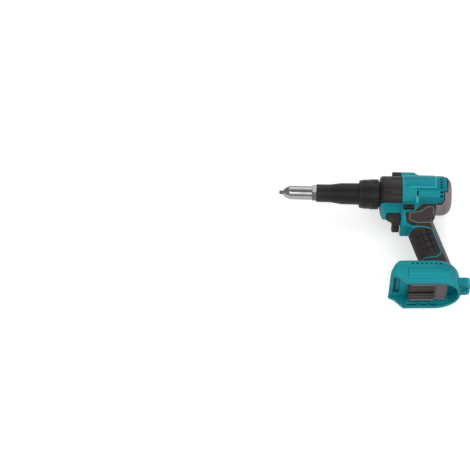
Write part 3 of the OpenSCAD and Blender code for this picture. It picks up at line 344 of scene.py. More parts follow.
DRESS = {
    "left_housing": (TEAL, 0.7), "right_housing": (TEAL, 0.7),
    "left_grip": (RUBBER, 0.35), "right_grip": (RUBBER, 0.35), "rear_cover": (COVER, 0.6),
    "gear_case": (BLACK, 0.5), "lock_collar": (BLACK, 0.3), "nose_sleeve": (BLACK, 0.4),
    "lock_nut": (PLATED, 0.25), "nose_housing": (CHROME, 0.25), "nosepiece": (DARK_STEEL, 0.15),
    "guide_bush": (BRASS, 0.2), "jaw_case": (DARK_STEEL, 0.2), "jaw_1": (STEEL, 0.1), "jaw_2": (STEEL, 0.1),
    "jaw_3": (STEEL, 0.1), "jaw_pusher": (DARK_STEEL, 0.1), "jaw_spring": (STEEL, 0),
    "pull_rod": (STEEL, 0.2), "drive_nut": (STEEL, 0.2), "planet_pins": (STEEL, 0.1),
    "thrust_bearing": (STEEL, 0.1),
    "nut_bearing": (STEEL, 0.1), "ring_gear": (DARK_STEEL, 0), "planet_gear_1": (DARK_STEEL, 0),
    "planet_gear_2": (DARK_STEEL, 0), "planet_gear_3": (DARK_STEEL, 0), "sun_gear": (DARK_STEEL, 0),
    "motor_shaft": (STEEL, 0.1), "rotor_core": (IRON, 0.2), "fan": (BLACK, 0.2), "stator_core": (IRON, 0.2),
    "stator_coils": (COPPER, 0.6), "mount_plate": (ALLOY, 0.3), "front_bearing": (STEEL, 0.1),
    "rear_bearing": (STEEL, 0.1), "trigger": (CONTROL, 1.6), "switch_plunger": (CONTROL, 0.2),
    "trigger_spring": (STEEL, 0), "switch_module": (CONTROL, 0.5), "direction_selector": (CONTROL, 0.5),
    "terminal_block": (TERMINAL, 0.4), "battery_contacts": (CONTACT, 0.1), "controller_board": (BOARD, 0.2),
    "housing_screws": (STEEL, 0.2), "gear_case_screws": (BLACK_STEEL, 0.15), "cover_screws": (STEEL, 0.15),
}
SHARP_ANGLE = math.radians(32)
ROUND_SEGMENTS = 3
NORMAL_WEIGHT = 60


def soften(obj, width):
    """Rounds the sharp edges of an object and shades it smooth between them."""
    if width:
        bevel = obj.modifiers.new("edge_round", "BEVEL")
        bevel.width = width * MM
        bevel.segments = ROUND_SEGMENTS
        bevel.limit_method = "ANGLE"
        bevel.angle_limit = SHARP_ANGLE
        bevel.harden_normals = False
    normals = obj.modifiers.new("edge_normals", "WEIGHTED_NORMAL")
    normals.keep_sharp = False
    normals.weight = NORMAL_WEIGHT


for name, (material, width) in DRESS.items():
    solid = nodes[name]
    solid.data.materials.clear()
    solid.data.materials.append(material)
    soften(solid, width)


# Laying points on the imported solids

SIDES = {"left": 1, "right": -1}
SIDE_START = 90
BELOW_START = -260


def world_tree(*names):
    """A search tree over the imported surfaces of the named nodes."""
    verts, faces = [], []
    for name in names:
        solid = nodes[name]
        start = len(verts)
        verts += [solid.matrix_world @ v.co for v in solid.data.vertices]
        faces += [[start + i for i in face.vertices] for face in solid.data.polygons]
    return BVHTree.FromPolygons(verts, faces)


def lay_on(tree, start, direction, rise):
    """The point where a line meets a surface, lifted by some millimetres along its normal."""
    hit, normal, _, _ = tree.ray_cast(start, direction)
    if hit is None:
        return None
    if normal.dot(direction) > 0:
        normal = -normal
    return hit + normal * (rise * MM)


def from_side(side, *names):
    """Lays points given by x and y on the named nodes, seen from a side."""
    tree = world_tree(*names)
    way = Vector((0, 0, -side))
    return lambda x, y, rise: lay_on(tree, at(x, y, side * SIDE_START), way, rise)


def from_below(*names):
    """Lays points given by x and z on the named nodes, seen from below."""
    tree = world_tree(*names)
    way = Vector((0, 1, 0))
    return lambda x, z, rise: lay_on(tree, at(x, BELOW_START, z), way, rise)


bpy.context.view_layer.update()
on_grip = {word: from_side(side, word + "_grip") for word, side in SIDES.items()}
on_cover = {word: from_side(side, "rear_cover") for word, side in SIDES.items()}
under_block = from_below("terminal_block")
under_housing = from_below("left_housing", "right_housing")


def round_barrel(x, angle, radius, side=1):
    """A point about the barrel axis, the angle in degrees from a side towards the top."""
    a = math.radians(angle)
    return at(x, radius * math.sin(a), side * radius * math.cos(a))


# Meshes

def add_object(name, data):
    obj = bpy.data.objects.new(name, data)
    scene.collection.objects.link(obj)
    return obj


def make_piece(name, bm, material):
    """A piece that rides on the housing, from its mesh."""
    bmesh.ops.recalc_face_normals(bm, faces=bm.faces)
    mesh = bpy.data.meshes.new(name)
    bm.to_mesh(mesh)
    bm.free()
    for face in mesh.polygons:
        face.use_smooth = True
    mesh.materials.append(material)
    piece = add_object(name, mesh)
    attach(piece, "housing_body")
    return piece


def round_angles(sides):
    return [2 * math.pi * k / sides for k in range(sides)]


def join_rings(bm, rings):
    """Faces between each ring of corners and the next."""
    for ring, after in zip(rings, rings[1:]):
        for k in range(len(ring)):
            bm.faces.new((ring[k], ring[k - 1], after[k - 1], after[k]))


def add_slab(bm, top, bottom):
    """A closed slab from two grids of points, row by row."""
    upper = [[bm.verts.new(p) for p in row] for row in top]
    lower = [[bm.verts.new(p) for p in row] for row in bottom]
    rows, cols = len(upper), len(upper[0])
    for r in range(rows - 1):
        for c in range(cols - 1):
            bm.faces.new((upper[r][c], upper[r][c + 1], upper[r + 1][c + 1], upper[r + 1][c]))
            bm.faces.new((lower[r][c], lower[r + 1][c], lower[r + 1][c + 1], lower[r][c + 1]))
    rim = [(0, c) for c in range(cols)] + [(r, cols - 1) for r in range(1, rows)]
    rim += [(rows - 1, c) for c in range(cols - 2, -1, -1)] + [(r, 0) for r in range(rows - 2, 0, -1)]
    for (r0, c0), (r1, c1) in zip(rim, rim[1:] + rim[:1]):
        bm.faces.new((upper[r0][c0], lower[r0][c0], lower[r1][c1], upper[r1][c1]))


def add_sheet(bm, rows, columns, place):
    """A slab over a grid, where place gives a top and a bottom point; none if a point misses its surface."""
    pairs = [[place(v, u) for u in columns] for v in rows]
    if any(None in pair for row in pairs for pair in row):
        return
    top = [[above for above, _ in row] for row in pairs]
    bottom = [[below for _, below in row] for row in pairs]
    add_slab(bm, top, bottom)


END_STEPS = 4


def spaced(count, soft_share):
    """Steps from 0 to 1 that lie closer together near both ends."""
    ends = [soft_share * k / END_STEPS for k in range(END_STEPS + 1)]
    middle = [soft_share + (1 - 2 * soft_share) * k / count for k in range(1, count)]
    return ends + middle + [1 - e for e in reversed(ends)]


def swell(distance, soft):
    """A round rise from 0 at an edge to 1 at a soft distance from it."""
    share = max(0.0, min(1.0, distance / soft))
    return math.sqrt(1 - (1 - share) ** 2)


def edge_fade(u, v, width, height, soft):
    """1 inside a rectangle and falling to 0 over a soft border, for u and v from 0 to 1."""
    return swell(min(u * width, (1 - u) * width, v * height, (1 - v) * height), soft)


# Paths, beads, blocks and panels on a surface

CORNER_REACH = 3.0
SINK = 0.4
BEAD_STEP = 0.8
BEAD_PROFILE = [(-0.5, 0.1), (-0.36, 0.75), (-0.15, 1.0), (0.15, 1.0), (0.36, 0.75), (0.5, 0.1)]
BEAD_END, BEAD_GROWTH = 0.35, 0.3
BLOCK_STEPS = 8
BORDER_STEP = 1.2
PANEL_STEP = 1.5
PANEL_CLEAR = 0.6


def toward(p, q):
    """A point on the way from p to q, no further than two fifths of it."""
    share = min(0.4, CORNER_REACH / math.dist(p, q))
    return blend(p, q, share)


def smooth_path(points):
    """Rounds the corners of an open path, by cutting them twice."""
    path = [points[0]]
    for before, corner, after in zip(points, points[1:], points[2:]):
        path += [toward(corner, before), corner, toward(corner, after)]
    path.append(points[-1])
    for _ in range(2):
        cut = [path[0]]
        for p, q in zip(path, path[1:]):
            cut += [blend(p, q, 0.25), blend(p, q, 0.75)]
        path = cut + [path[-1]]
    return path


def evenly(points, step):
    """The path cut into equal steps."""
    lengths = [0.0]
    for p, q in zip(points, points[1:]):
        lengths.append(lengths[-1] + math.dist(p, q))
    count = max(2, round(lengths[-1] / step))
    out, k = [], 0
    for i in range(count + 1):
        goal = lengths[-1] * i / count
        while k < len(points) - 2 and lengths[k + 1] < goal:
            k += 1
        span = lengths[k + 1] - lengths[k]
        share = (goal - lengths[k]) / span if span else 0.0
        out.append(blend(points[k], points[k + 1], share))
    return out


def add_bead(bm, lay, path, width, rise):
    """A slim bead along a path on a surface, lower at both ends."""
    path = evenly(smooth_path(path), BEAD_STEP)
    last = len(path) - 1
    top, bottom = [], []
    for i, (x, y) in enumerate(path):
        (x0, y0), (x1, y1) = path[max(0, i - 1)], path[min(last, i + 1)]
        size = math.hypot(x1 - x0, y1 - y0)
        out_x, out_y = -(y1 - y0) / size * width, (x1 - x0) / size * width
        grown = min(1.0, BEAD_END + BEAD_GROWTH * min(i, last - i))
        row = [lay(x + out_x * o, y + out_y * o, h * rise * grown) for o, h in BEAD_PROFILE]
        under = [lay(x + out_x * o, y + out_y * o, -SINK) for o, h in BEAD_PROFILE]
        if None not in row + under:
            top.append(row)
            bottom.append(under)
    add_slab(bm, top, bottom)


def add_block(bm, lay, corners, rise, soft):
    """A raised block with soft edges over four corners on a surface."""
    a, b, c, d = corners
    wide, tall = math.dist(a, b), math.dist(a, d)

    def place(v, u):
        x, y = blend(blend(a, b, u), blend(d, c, u), v)
        return lay(x, y, rise * edge_fade(u, v, wide, tall, soft)), lay(x, y, -SINK)

    add_sheet(bm, spaced(BLOCK_STEPS, soft / tall), spaced(BLOCK_STEPS, soft / wide), place)


def rectangle(x_span, y_span):
    """The corners of a rectangle."""
    (x0, x1), (y0, y1) = x_span, y_span
    return [(x0, y0), (x1, y0), (x1, y1), (x0, y1)]


def inside(outline, x, y):
    """Whether a point lies within a closed outline."""
    within = False
    for (x0, y0), (x1, y1) in zip(outline, outline[1:] + outline[:1]):
        if (y0 > y) != (y1 > y) and x < x0 + (y - y0) * (x1 - x0) / (y1 - y0):
            within = not within
    return within


def loop(start, count):
    """The edges of a closed loop of numbered points."""
    return [(start + k, start + (k + 1) % count) for k in range(count)]


def add_panel(bm, lay, outline, rise, soft):
    """A raised panel with a soft border inside a closed outline on a surface."""
    border = evenly(smooth_path(outline + outline[:1]), BORDER_STEP)[:-1]

    def to_border(p):
        return min(math.dist(p, q) for q in border)

    points = list(border)
    low_x, low_y = (min(values) for values in zip(*border))
    high_x, high_y = (max(values) for values in zip(*border))
    for i in range(int((high_x - low_x) / PANEL_STEP)):
        for k in range(int((high_y - low_y) / PANEL_STEP)):
            p = (low_x + PANEL_STEP * (i + 0.5), low_y + PANEL_STEP * (k + 0.5))
            if inside(border, *p) and to_border(p) > PANEL_CLEAR:
                points.append(p)
    corners = [Vector(p) for p in points]
    flat, _, faces, _, _, _ = delaunay_2d_cdt(corners, loop(0, len(border)), [], 1, 1e-5)
    top = [lay(p.x, p.y, rise * swell(to_border(p), soft)) for p in flat]
    bottom = [lay(p.x, p.y, -SINK) for p in flat]
    upper = [None if p is None else bm.verts.new(p) for p in top]
    lower = [None if p is None else bm.verts.new(p) for p in bottom]
    edges = {}
    for face in faces:
        if any(upper[i] is None or lower[i] is None for i in face):
            continue
        bm.faces.new([upper[i] for i in face])
        bm.faces.new([lower[i] for i in reversed(face)])
        for i, k in zip(face, face[1:] + face[:1]):
            edges[(i, k)] = (k, i)
    for (i, k), back in edges.items():
        if back not in edges:
            bm.faces.new((upper[i], lower[i], lower[k], upper[k]))
    bmesh.ops.delete(bm, geom=[v for v in bm.verts if not v.link_faces], context="VERTS")


# Plate on the barrel and its rim with a painted highlight

PLATE_X = (39.5, 89.7)
PLATE_ANGLES = (-12.0, 50.0)
PLATE_RADIUS, PLATE_RISE, PLATE_FLOOR = 31.75, 1.0, 31.2
PLATE_SOFT = 0.7
PLATE_STEPS = 26
BARREL_RADIUS = 32
RIM_PROFILE = [(-0.75, 0.0), (-0.4, 0.8), (0.0, 1.0), (0.4, 0.8), (0.75, 0.0)]
RIM_RADIUS, RIM_RISE, RIM_FLOOR = 32.68, 0.28, 31.9
RIM_ARC_RADIUS = 32.7
LOW_RIM_ANGLE, LOW_RIM_X = -11.2, range(46, 90)
REAR_RIM_X, REAR_RIM_ANGLES = 89.0, range(-11, 49, 2)


def make_plate(word, side):
    """The bare raised plate on a side of the barrel."""
    wide = PLATE_X[1] - PLATE_X[0]
    tall = math.radians(PLATE_ANGLES[1] - PLATE_ANGLES[0]) * BARREL_RADIUS

    def place(v, u):
        x, angle = between(PLATE_X, u), between(PLATE_ANGLES, v)
        radius = PLATE_RADIUS + PLATE_RISE * edge_fade(u, v, wide, tall, PLATE_SOFT)
        return round_barrel(x, angle, radius, side), round_barrel(x, angle, PLATE_FLOOR, side)

    bm = bmesh.new()
    add_sheet(bm, spaced(PLATE_STEPS, PLATE_SOFT / tall), spaced(PLATE_STEPS, PLATE_SOFT / wide), place)
    make_piece(word + "_plate", bm, TEAL_PLATE)


def make_plate_highlight(word, side):
    """The rim along the lower and rear edges of the plate, in a lighter teal that paints its highlight."""
    low_profile = [(LOW_RIM_ANGLE + math.degrees(o / RIM_ARC_RADIUS), h) for o, h in RIM_PROFILE]
    low_run = [[(x, angle, h) for angle, h in low_profile] for x in LOW_RIM_X]
    rear_run = [[(REAR_RIM_X + o, angle, h) for o, h in RIM_PROFILE] for angle in REAR_RIM_ANGLES]
    bm = bmesh.new()
    for run in (low_run, rear_run):
        top, bottom = [], []
        for row in run:
            top.append([round_barrel(x, angle, RIM_RADIUS + RIM_RISE * h, side) for x, angle, h in row])
            bottom.append([round_barrel(x, angle, RIM_FLOOR, side) for x, angle, h in row])
        add_slab(bm, top, bottom)
    make_piece(word + "_plate_highlight", bm, TEAL_HIGHLIGHT)


# Dark sheets in the vents of the barrel and of the foot, which paint the shade inside them

VENT_SHADE_STEPS = spaced(2, 0.2)
BARREL_VENT_X = (95.8, 100.2)
UPPER_VENTS = [(-10.6 + 8.8 * k, 2.2) for k in range(5)]
LOWER_VENTS = [(-25.3 - 11.8 * k, 3.2) for k in range(2)]
VENT_RADIUS = 30.5
BARREL_VENT_SHADE_RADIUS, BARREL_VENT_SHADE_RISE, BARREL_VENT_SHADE_FLOOR = 31.2, 0.35, 29.6
BARREL_VENT_SHADE_SOFT = 0.5
FOOT_MIDDLE_X, FOOT_MIDDLE_Y = 65, -170
FOOT_LEAN = math.radians(2)
FOOT_VENTS = [45.2 + 7.33 * k for k in range(7)]
FOOT_VENT_LENGTH, FOOT_VENT_HEIGHT = 4.0, 2.2
SHOULDER_Y, SHOULDER_Z = -162, 21
SHOULDER_LEAN = math.radians(15)
FOOT_VENT_SHADE_RADIUS, FOOT_VENT_SHADE_RISE, FOOT_VENT_SHADE_FLOOR = 17.6, 0.3, 16.2
FOOT_VENT_SHADE_SOFT = 0.3


def add_barrel_vent_shade(bm, side, middle, height):
    """A dark sheet in one vent of the barrel that paints the shade inside it, from the angle of its middle
    and its height.
    """
    spread = math.degrees(height / 2 / VENT_RADIUS)
    length = BARREL_VENT_X[1] - BARREL_VENT_X[0]

    def place(v, u):
        x, angle = between(BARREL_VENT_X, u), between((middle - spread, middle + spread), v)
        rise = BARREL_VENT_SHADE_RISE * edge_fade(u, v, length, height, BARREL_VENT_SHADE_SOFT)
        top = round_barrel(x, angle, BARREL_VENT_SHADE_RADIUS + rise, side)
        return top, round_barrel(x, angle, BARREL_VENT_SHADE_FLOOR, side)

    add_sheet(bm, VENT_SHADE_STEPS, VENT_SHADE_STEPS, place)


def in_foot(x, y, z):
    """A point of the foot, which leans a little."""
    dx, dy = turned(x - FOOT_MIDDLE_X, y - FOOT_MIDDLE_Y, FOOT_LEAN)
    return at(FOOT_MIDDLE_X + dx, FOOT_MIDDLE_Y + dy, z)


def add_foot_vent_shade(bm, side, front):
    """A dark sheet in one vent on a shoulder of the foot that paints the shade inside it."""
    def on_shoulder(x, depth, offset):
        dz, dy = turned(depth, offset, SHOULDER_LEAN)
        return in_foot(x, SHOULDER_Y + dy, side * (SHOULDER_Z + dz))

    def place(v, u):
        x, offset = front + FOOT_VENT_LENGTH * u, FOOT_VENT_HEIGHT * (v - 0.5)
        rise = FOOT_VENT_SHADE_RISE * edge_fade(u, v, FOOT_VENT_LENGTH, FOOT_VENT_HEIGHT, FOOT_VENT_SHADE_SOFT)
        return on_shoulder(x, FOOT_VENT_SHADE_RADIUS + rise, offset), on_shoulder(x, FOOT_VENT_SHADE_FLOOR, offset)

    add_sheet(bm, VENT_SHADE_STEPS, VENT_SHADE_STEPS, place)


def make_vent_shade(word, side):
    """Dark sheets set into the vents on one side, which paint the shade inside them."""
    bm = bmesh.new()
    for middle, height in UPPER_VENTS + LOWER_VENTS:
        add_barrel_vent_shade(bm, side, middle, height)
    make_piece(word + "_barrel_vent_shade", bm, VENT_SHADE)
    bm = bmesh.new()
    for front in FOOT_VENTS:
        add_foot_vent_shade(bm, side, front)
    make_piece(word + "_foot_vent_shade", bm, VENT_SHADE)


# Ramp behind the ring: angles, run along x and height of its low and of its high stretch

RAMP_STRETCHES = [((-38.5, -61), (56.6, 61.4), 33.1), ((-15.5, -38.5), (56.8, 57.9), 32.75)]
RAMP_STEPS, RAMP_END_STEPS = 24, 3
RAMP_RADIUS, RAMP_TAIL, RAMP_FLOOR = 31.7, 31.8, 31.0
RAMP_CREST = 0.3
RAMP_LIP, RAMP_LIP_DROP = 0.2, 0.9


def add_ramp(bm, side, angles, span, height):
    """One stretch of the ramp, which rises over a lip and falls from its crest to its tail."""
    def place(k, u):
        fall = (height - RAMP_TAIL) * max(0.0, (u - RAMP_CREST) / (1 - RAMP_CREST))
        drop = RAMP_LIP_DROP * max(0.0, (RAMP_LIP - u) / RAMP_LIP) ** 2
        ends = min(1.0, min(k, RAMP_STEPS - k) / RAMP_END_STEPS)
        radius = between((RAMP_RADIUS, height - fall - drop), ends)
        x, angle = between(span, u), between(angles, k / RAMP_STEPS)
        return round_barrel(x, angle, radius, side), round_barrel(x, angle, RAMP_FLOOR, side)

    add_sheet(bm, range(RAMP_STEPS + 1), spaced(6, RAMP_LIP), place)


def make_ring_ramp(word, side):
    """The ramp from the ring at the front of the barrel to its rear part, low on the side, in a lighter teal
    that paints a highlight on it.
    """
    bm = bmesh.new()
    for angles, span, height in RAMP_STRETCHES:
        add_ramp(bm, side, angles, span, height)
    make_piece(word + "_ring_ramp", bm, TEAL_HIGHLIGHT)


# Upper grip, seam of the rear cover and lower pad

GRIP_LINE = [(84.3, -49.5), (85.3, -44.5), (86.0, -39.5), (85.2, -35.3), (81.4, -32.7), (75.6, -34),
             (69, -39.5), (62.5, -44.1), (46.8, -46.3), (46.2, -60.1), (55.5, -64.7), (61.8, -65.9),
             (79, -63.6)]
GRIP_LINE_WIDTH, GRIP_LINE_RISE = 1.3, 0.35
GRIP_PANEL_RISE, GRIP_PANEL_SOFT = 0.2, 1.0
# Straight runs just behind the edge of the housing half, from the top to the grip
COVER_SEAM = [[(108.15, 28), (108.15, -12.9)], [(108.85, -12.25), (102.25, -12.25)],
              [(102.95, -11.55), (102.95, -23.6)], [(102.95, -23.5), (98.5, -27.95)],
              [(98.9, -27.95), (90.6, -27.95)]]
COVER_SEAM_WIDTH, COVER_SEAM_RISE = 1.4, 0.12
# Distances across the handle and down it
PAD_FIELD = [(-16.2, -5.2), (3.4, -5.2), (10.9, -1.2), (10.9, 40.9), (-16.2, 40.9)]
PAD_FIELD_RISE, PAD_FIELD_SOFT = 0.12, 0.6
PAD_COLUMNS = [(-16.5, -7.7), (-6.5, 2.2), (3.6, 11.2)]
PAD_ROWS = [(-5.5, 5.5), (6.7, 17.5), (18.7, 29.5), (30.7, 41.2)]
PAD_REAR_TOP = -1.4
PAD_RISE, PAD_SOFT = 0.6, 0.9


def make_grip_line(word):
    """The pale line let into the upper grip, and the softer field inside it."""
    bm = bmesh.new()
    add_bead(bm, on_grip[word], GRIP_LINE, GRIP_LINE_WIDTH, GRIP_LINE_RISE)
    make_piece(word + "_grip_line", bm, PALE_TRIM)
    bm = bmesh.new()
    add_panel(bm, on_grip[word], GRIP_LINE, GRIP_PANEL_RISE, GRIP_PANEL_SOFT)
    make_piece(word + "_grip_panel", bm, RUBBER_PALE)


def make_cover_seam(word):
    """The dark strip that paints the shade in the gap between a housing half and the rear cover."""
    bm = bmesh.new()
    for run in COVER_SEAM:
        add_bead(bm, on_cover[word], run, COVER_SEAM_WIDTH, COVER_SEAM_RISE)
    make_piece(word + "_cover_seam", bm, GROOVE_SHADE)


def on_handle(across, down):
    """A point of the handle's side from distances across it and down it."""
    dx, dy = turned(across, -down, HANDLE_TILT)
    return HANDLE_X + dx, HANDLE_Y + dy


def make_pad_blocks(word):
    """Low blocks that give the lower pad its grip, over a darker field that paints the shade in the grooves
    between them.
    """
    bm = bmesh.new()
    field = [on_handle(*corner) for corner in PAD_FIELD]
    add_panel(bm, on_grip[word], field, PAD_FIELD_RISE, PAD_FIELD_SOFT)
    make_piece(word + "_pad_groove_shade", bm, GROOVE_SHADE)
    bm = bmesh.new()
    for column in PAD_COLUMNS:
        for high, low in PAD_ROWS:
            if column == PAD_COLUMNS[-1]:
                high = max(high, PAD_REAR_TOP)
            corners = [on_handle(*corner) for corner in rectangle(column, (high, low))]
            add_block(bm, on_grip[word], corners, PAD_RISE, PAD_SOFT)
    make_piece(word + "_pad_blocks", bm, RUBBER_BLOCK)


# Trim of the foot, with painted shade and painted highlights, as seen from below: runs along x and z

STEP_X, STEP_Z = (84.5, 101.2), (-20.4, 20.4)
STEP_RISE, STEP_SOFT = 0.6, 0.8
TERMINAL_LINE_X = (47, 74, 100.6)
TERMINAL_LINE_Z = 21.6
TERMINAL_LINE_WIDTH, TERMINAL_LINE_RISE = 1.9, 0.3
LATCH_BAR = ((18.8, 22.4), (-20.6, 20.6))
LATCH_FOOT = ((22.8, 28.0), (-20.6, -16.2))
LATCH_RISE, LATCH_SOFT = 0.5, 0.5
RAIL_SHADE_RUNS = [(41, 57.2), (63, 74.2), (79, 88.2)]
RAIL_SHADE_Z = (28.9, 31.9)
RAIL_SHADE_RISE, RAIL_SHADE_SOFT = 0.2, 0.3


def make_terminal_trim():
    """The paler rear step of the terminal block, and pale lines along its edges that paint their highlights.
    """
    bm = bmesh.new()
    add_block(bm, under_block, rectangle(STEP_X, STEP_Z), STEP_RISE, STEP_SOFT)
    make_piece("terminal_step", bm, TERMINAL_GREY)
    bm = bmesh.new()
    for z in (-TERMINAL_LINE_Z, TERMINAL_LINE_Z):
        path = [(x, z) for x in TERMINAL_LINE_X]
        add_bead(bm, under_block, path, TERMINAL_LINE_WIDTH, TERMINAL_LINE_RISE)
    make_piece("terminal_highlight_lines", bm, TERMINAL_HIGHLIGHT)


def make_latch_shade():
    """A dark L-shaped sheet in the pocket that the battery's latch drops into, which paints the shade of its
    walls.
    """
    bm = bmesh.new()
    for spans in (LATCH_BAR, LATCH_FOOT):
        add_block(bm, under_housing, rectangle(*spans), LATCH_RISE, LATCH_SOFT)
    make_piece("latch_shade", bm, TEAL_SHADE)


def make_rail_shade():
    """Dark strips along the undersides of both battery rails, which paint the shade of the channels beside
    them.
    """
    bm = bmesh.new()
    for side in SIDES.values():
        for run in RAIL_SHADE_RUNS:
            corners = rectangle(run, (side * RAIL_SHADE_Z[0], side * RAIL_SHADE_Z[1]))
            add_block(bm, under_housing, corners, RAIL_SHADE_RISE, RAIL_SHADE_SOFT)
    make_piece("rail_shade", bm, TEAL_SHADE)


# Turned nose

NOSE_TAPER, NOSE_TAPER_STEPS = 14.6, 24
NOSE_LIP = 4.7
NUT_FRONT_X, NOSE_TAIL_STEP = -109.9, 0.4
NOSE_BORE, NOSE_MOUTH, NOSE_WALL = 9.0, 3.85, 13.9
NOSE_SIDES = 96
NOSE_ROUNDING = 0.2


def make_turned_nose():
    """The bright nose with its long taper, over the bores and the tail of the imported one."""
    low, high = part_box("nose_housing")
    front, rear = low[0] / MM - FRONT_X, high[0] / MM - FRONT_X
    radius = (high[1] - low[1]) / 2 / MM
    tail = radius - NOSE_TAIL_STEP
    drop = radius - NOSE_LIP
    curve = (NOSE_TAPER ** 2 + drop ** 2) / (2 * drop)
    profile = []
    for k in range(NOSE_TAPER_STEPS + 1):
        depth = NOSE_TAPER * k / NOSE_TAPER_STEPS
        profile.append((front + depth, radius - curve + math.sqrt(curve ** 2 - (NOSE_TAPER - depth) ** 2)))
    profile += [(NUT_FRONT_X, radius), (NUT_FRONT_X, tail), (rear, tail), (rear, NOSE_BORE)]
    profile += [(front + NOSE_WALL, NOSE_BORE), (front + NOSE_WALL, NOSE_MOUTH), (front, NOSE_MOUTH)]
    bm = bmesh.new()
    angles = [math.degrees(a) for a in round_angles(NOSE_SIDES)]
    rings = [[bm.verts.new(round_barrel(x, angle, r)) for angle in angles] for x, r in profile]
    join_rings(bm, rings + rings[:1])
    piece = make_piece("turned_nose", bm, CHROME)
    soften(piece, NOSE_ROUNDING)
    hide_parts("nose_housing")


# Trigger spring, in metres

SPRING_TRAVEL, SPRING_WIRE = 0.007, 0.00045
SPRING_TURNS, SPRING_STEPS, WIRE_SIDES = 4, 24, 8


def make_trigger_spring():
    """The trigger's spring as one wound wire."""
    low, high = (Vector(corner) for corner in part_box("trigger_spring"))
    length = high.x - low.x
    radius = (high.y - low.y) / 2 - SPRING_WIRE
    count = SPRING_TURNS * SPRING_STEPS
    along = Vector((1, 0, 0))
    bm = bmesh.new()
    rings = []
    for k in range(count + 1):
        angle = 2 * math.pi * k / SPRING_STEPS
        out = Vector((0, math.cos(angle), math.sin(angle)))
        centre = (low + high) / 2 + out * radius
        centre.x = low.x + SPRING_WIRE + (length - 2 * SPRING_WIRE) * k / count
        spokes = [out * math.cos(a) + along * math.sin(a) for a in round_angles(WIRE_SIDES)]
        rings.append([bm.verts.new(centre + spoke * SPRING_WIRE) for spoke in spokes])
    join_rings(bm, rings)
    bm.faces.new(rings[0])
    bm.faces.new(rings[-1])
    piece = make_piece("wound_trigger_spring", bm, STEEL)
    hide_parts("trigger_spring")
    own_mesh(piece)


# Screws with cross recesses and threads: radius and height of the head, radius of the shank

COVER_SCREW = (2.8, 2.4, 1.5)
HOUSING_SCREW = (3.3, 2.4, 1.7)
SCREW_SIDES = 32
SCREW_ROUNDING = 0.08
FIRST_TURN, NEXT_TURN = math.radians(17), math.radians(53)
HEAD_DOME = [(0.0, 0.6), (0.12, 0.25), (0.45, 0.0)]
HEAD_CHAMFER = 0.15
THREAD_PITCH, THREAD_DEPTH = 0.8, 0.3
SCREW_NECK, SCREW_END = 2, 1
TIP_LENGTH, TIP_INSET = 0.6, 0.9
CROSS_REACH, CROSS_WIDTH, CROSS_DEPTH, CROSS_TAPER = 0.68, 0.24, 0.7, 0.8


def screw_boxes(name):
    """Lowest and highest corner of each screw in a node."""
    bm = bmesh.new()
    bm.from_mesh(nodes[name].data)
    bmesh.ops.remove_doubles(bm, verts=bm.verts, dist=1e-6)
    left, boxes = set(bm.verts), []
    while left:
        found, queue = [], [left.pop()]
        while queue:
            vert = queue.pop()
            found.append(vert.co.copy())
            linked = {edge.other_vert(vert) for edge in vert.link_edges} & left
            left -= linked
            queue += linked
        boxes.append([Vector([pick(p[i] for p in found) for i in range(3)]) for pick in (min, max)])
    bm.free()
    return sorted(boxes, key=lambda box: tuple(box[0]))


def screw_profile(length, head_radius, head_height, shank_radius):
    """Depth below the head's top and radius, in millimetres, with the grooves of the thread."""
    root = shank_radius - THREAD_DEPTH
    profile = [(depth, head_radius - inset) for depth, inset in HEAD_DOME]
    profile += [(head_height - HEAD_CHAMFER, head_radius), (head_height, head_radius - HEAD_CHAMFER),
                (head_height, shank_radius)]
    for k in range(int((length - head_height - SCREW_NECK - SCREW_END) / THREAD_PITCH)):
        depth = head_height + SCREW_NECK + THREAD_PITCH * k
        profile += [(depth, shank_radius), (depth + THREAD_PITCH / 2, root)]
    return profile + [(length - TIP_LENGTH, root), (length, shank_radius - TIP_INSET)]


def cross_outline(reach, width):
    """The twelve corners of a cross."""
    quarter = [(reach, -width), (reach, width), (width, width)]
    return [turned(x, y, angle) for angle in round_angles(4) for x, y in quarter]


def add_screw(bm, top, out, across, turn, profile):
    """A screw with a cross recess, from the middle of its head's top and the way that it faces."""
    third = out.cross(across)

    def place(x, y, depth):
        px, py = turned(x, y, turn)
        return bm.verts.new(top + (across * px + third * py - out * depth) * MM)

    def circle(radius):
        return [(radius * math.cos(a), radius * math.sin(a)) for a in round_angles(SCREW_SIDES)]

    rings = [[place(x, y, depth) for x, y in circle(radius)] for depth, radius in profile]
    join_rings(bm, rings)
    bm.faces.new(rings[-1])
    rim_radius = profile[0][1]
    reach = rim_radius * CROSS_REACH
    corners = cross_outline(reach, reach * CROSS_WIDTH)
    mouth = [place(x, y, 0.0) for x, y in corners]
    floor = [place(x * CROSS_TAPER, y * CROSS_TAPER, reach * CROSS_DEPTH) for x, y in corners]
    join_rings(bm, [mouth, floor])
    bm.faces.new(floor)
    outline = [Vector(p) for p in circle(rim_radius) + corners]
    edges = loop(0, SCREW_SIDES) + loop(SCREW_SIDES, len(corners))
    flat, _, faces, _, _, _ = delaunay_2d_cdt(outline, edges, [], 0, 1e-6)
    verts = rings[0] + mouth
    for face in faces:
        middle = [sum(flat[i][axis] for i in face) / len(face) for axis in (0, 1)]
        if not inside(corners, *middle):
            bm.faces.new([verts[i] for i in face])


def make_screws(name, node, out, across, head):
    """The screws of a node, from the way that their heads face and their sizes."""
    bm = bmesh.new()
    for k, (low, high) in enumerate(screw_boxes(node)):
        length = abs((high - low).dot(out))
        top = (low + high) / 2 + out * (length / 2)
        add_screw(bm, top, out, across, FIRST_TURN + NEXT_TURN * k, screw_profile(length / MM, *head))
    piece = make_piece(name, bm, DARK_STEEL)
    soften(piece, SCREW_ROUNDING)
    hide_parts(node)


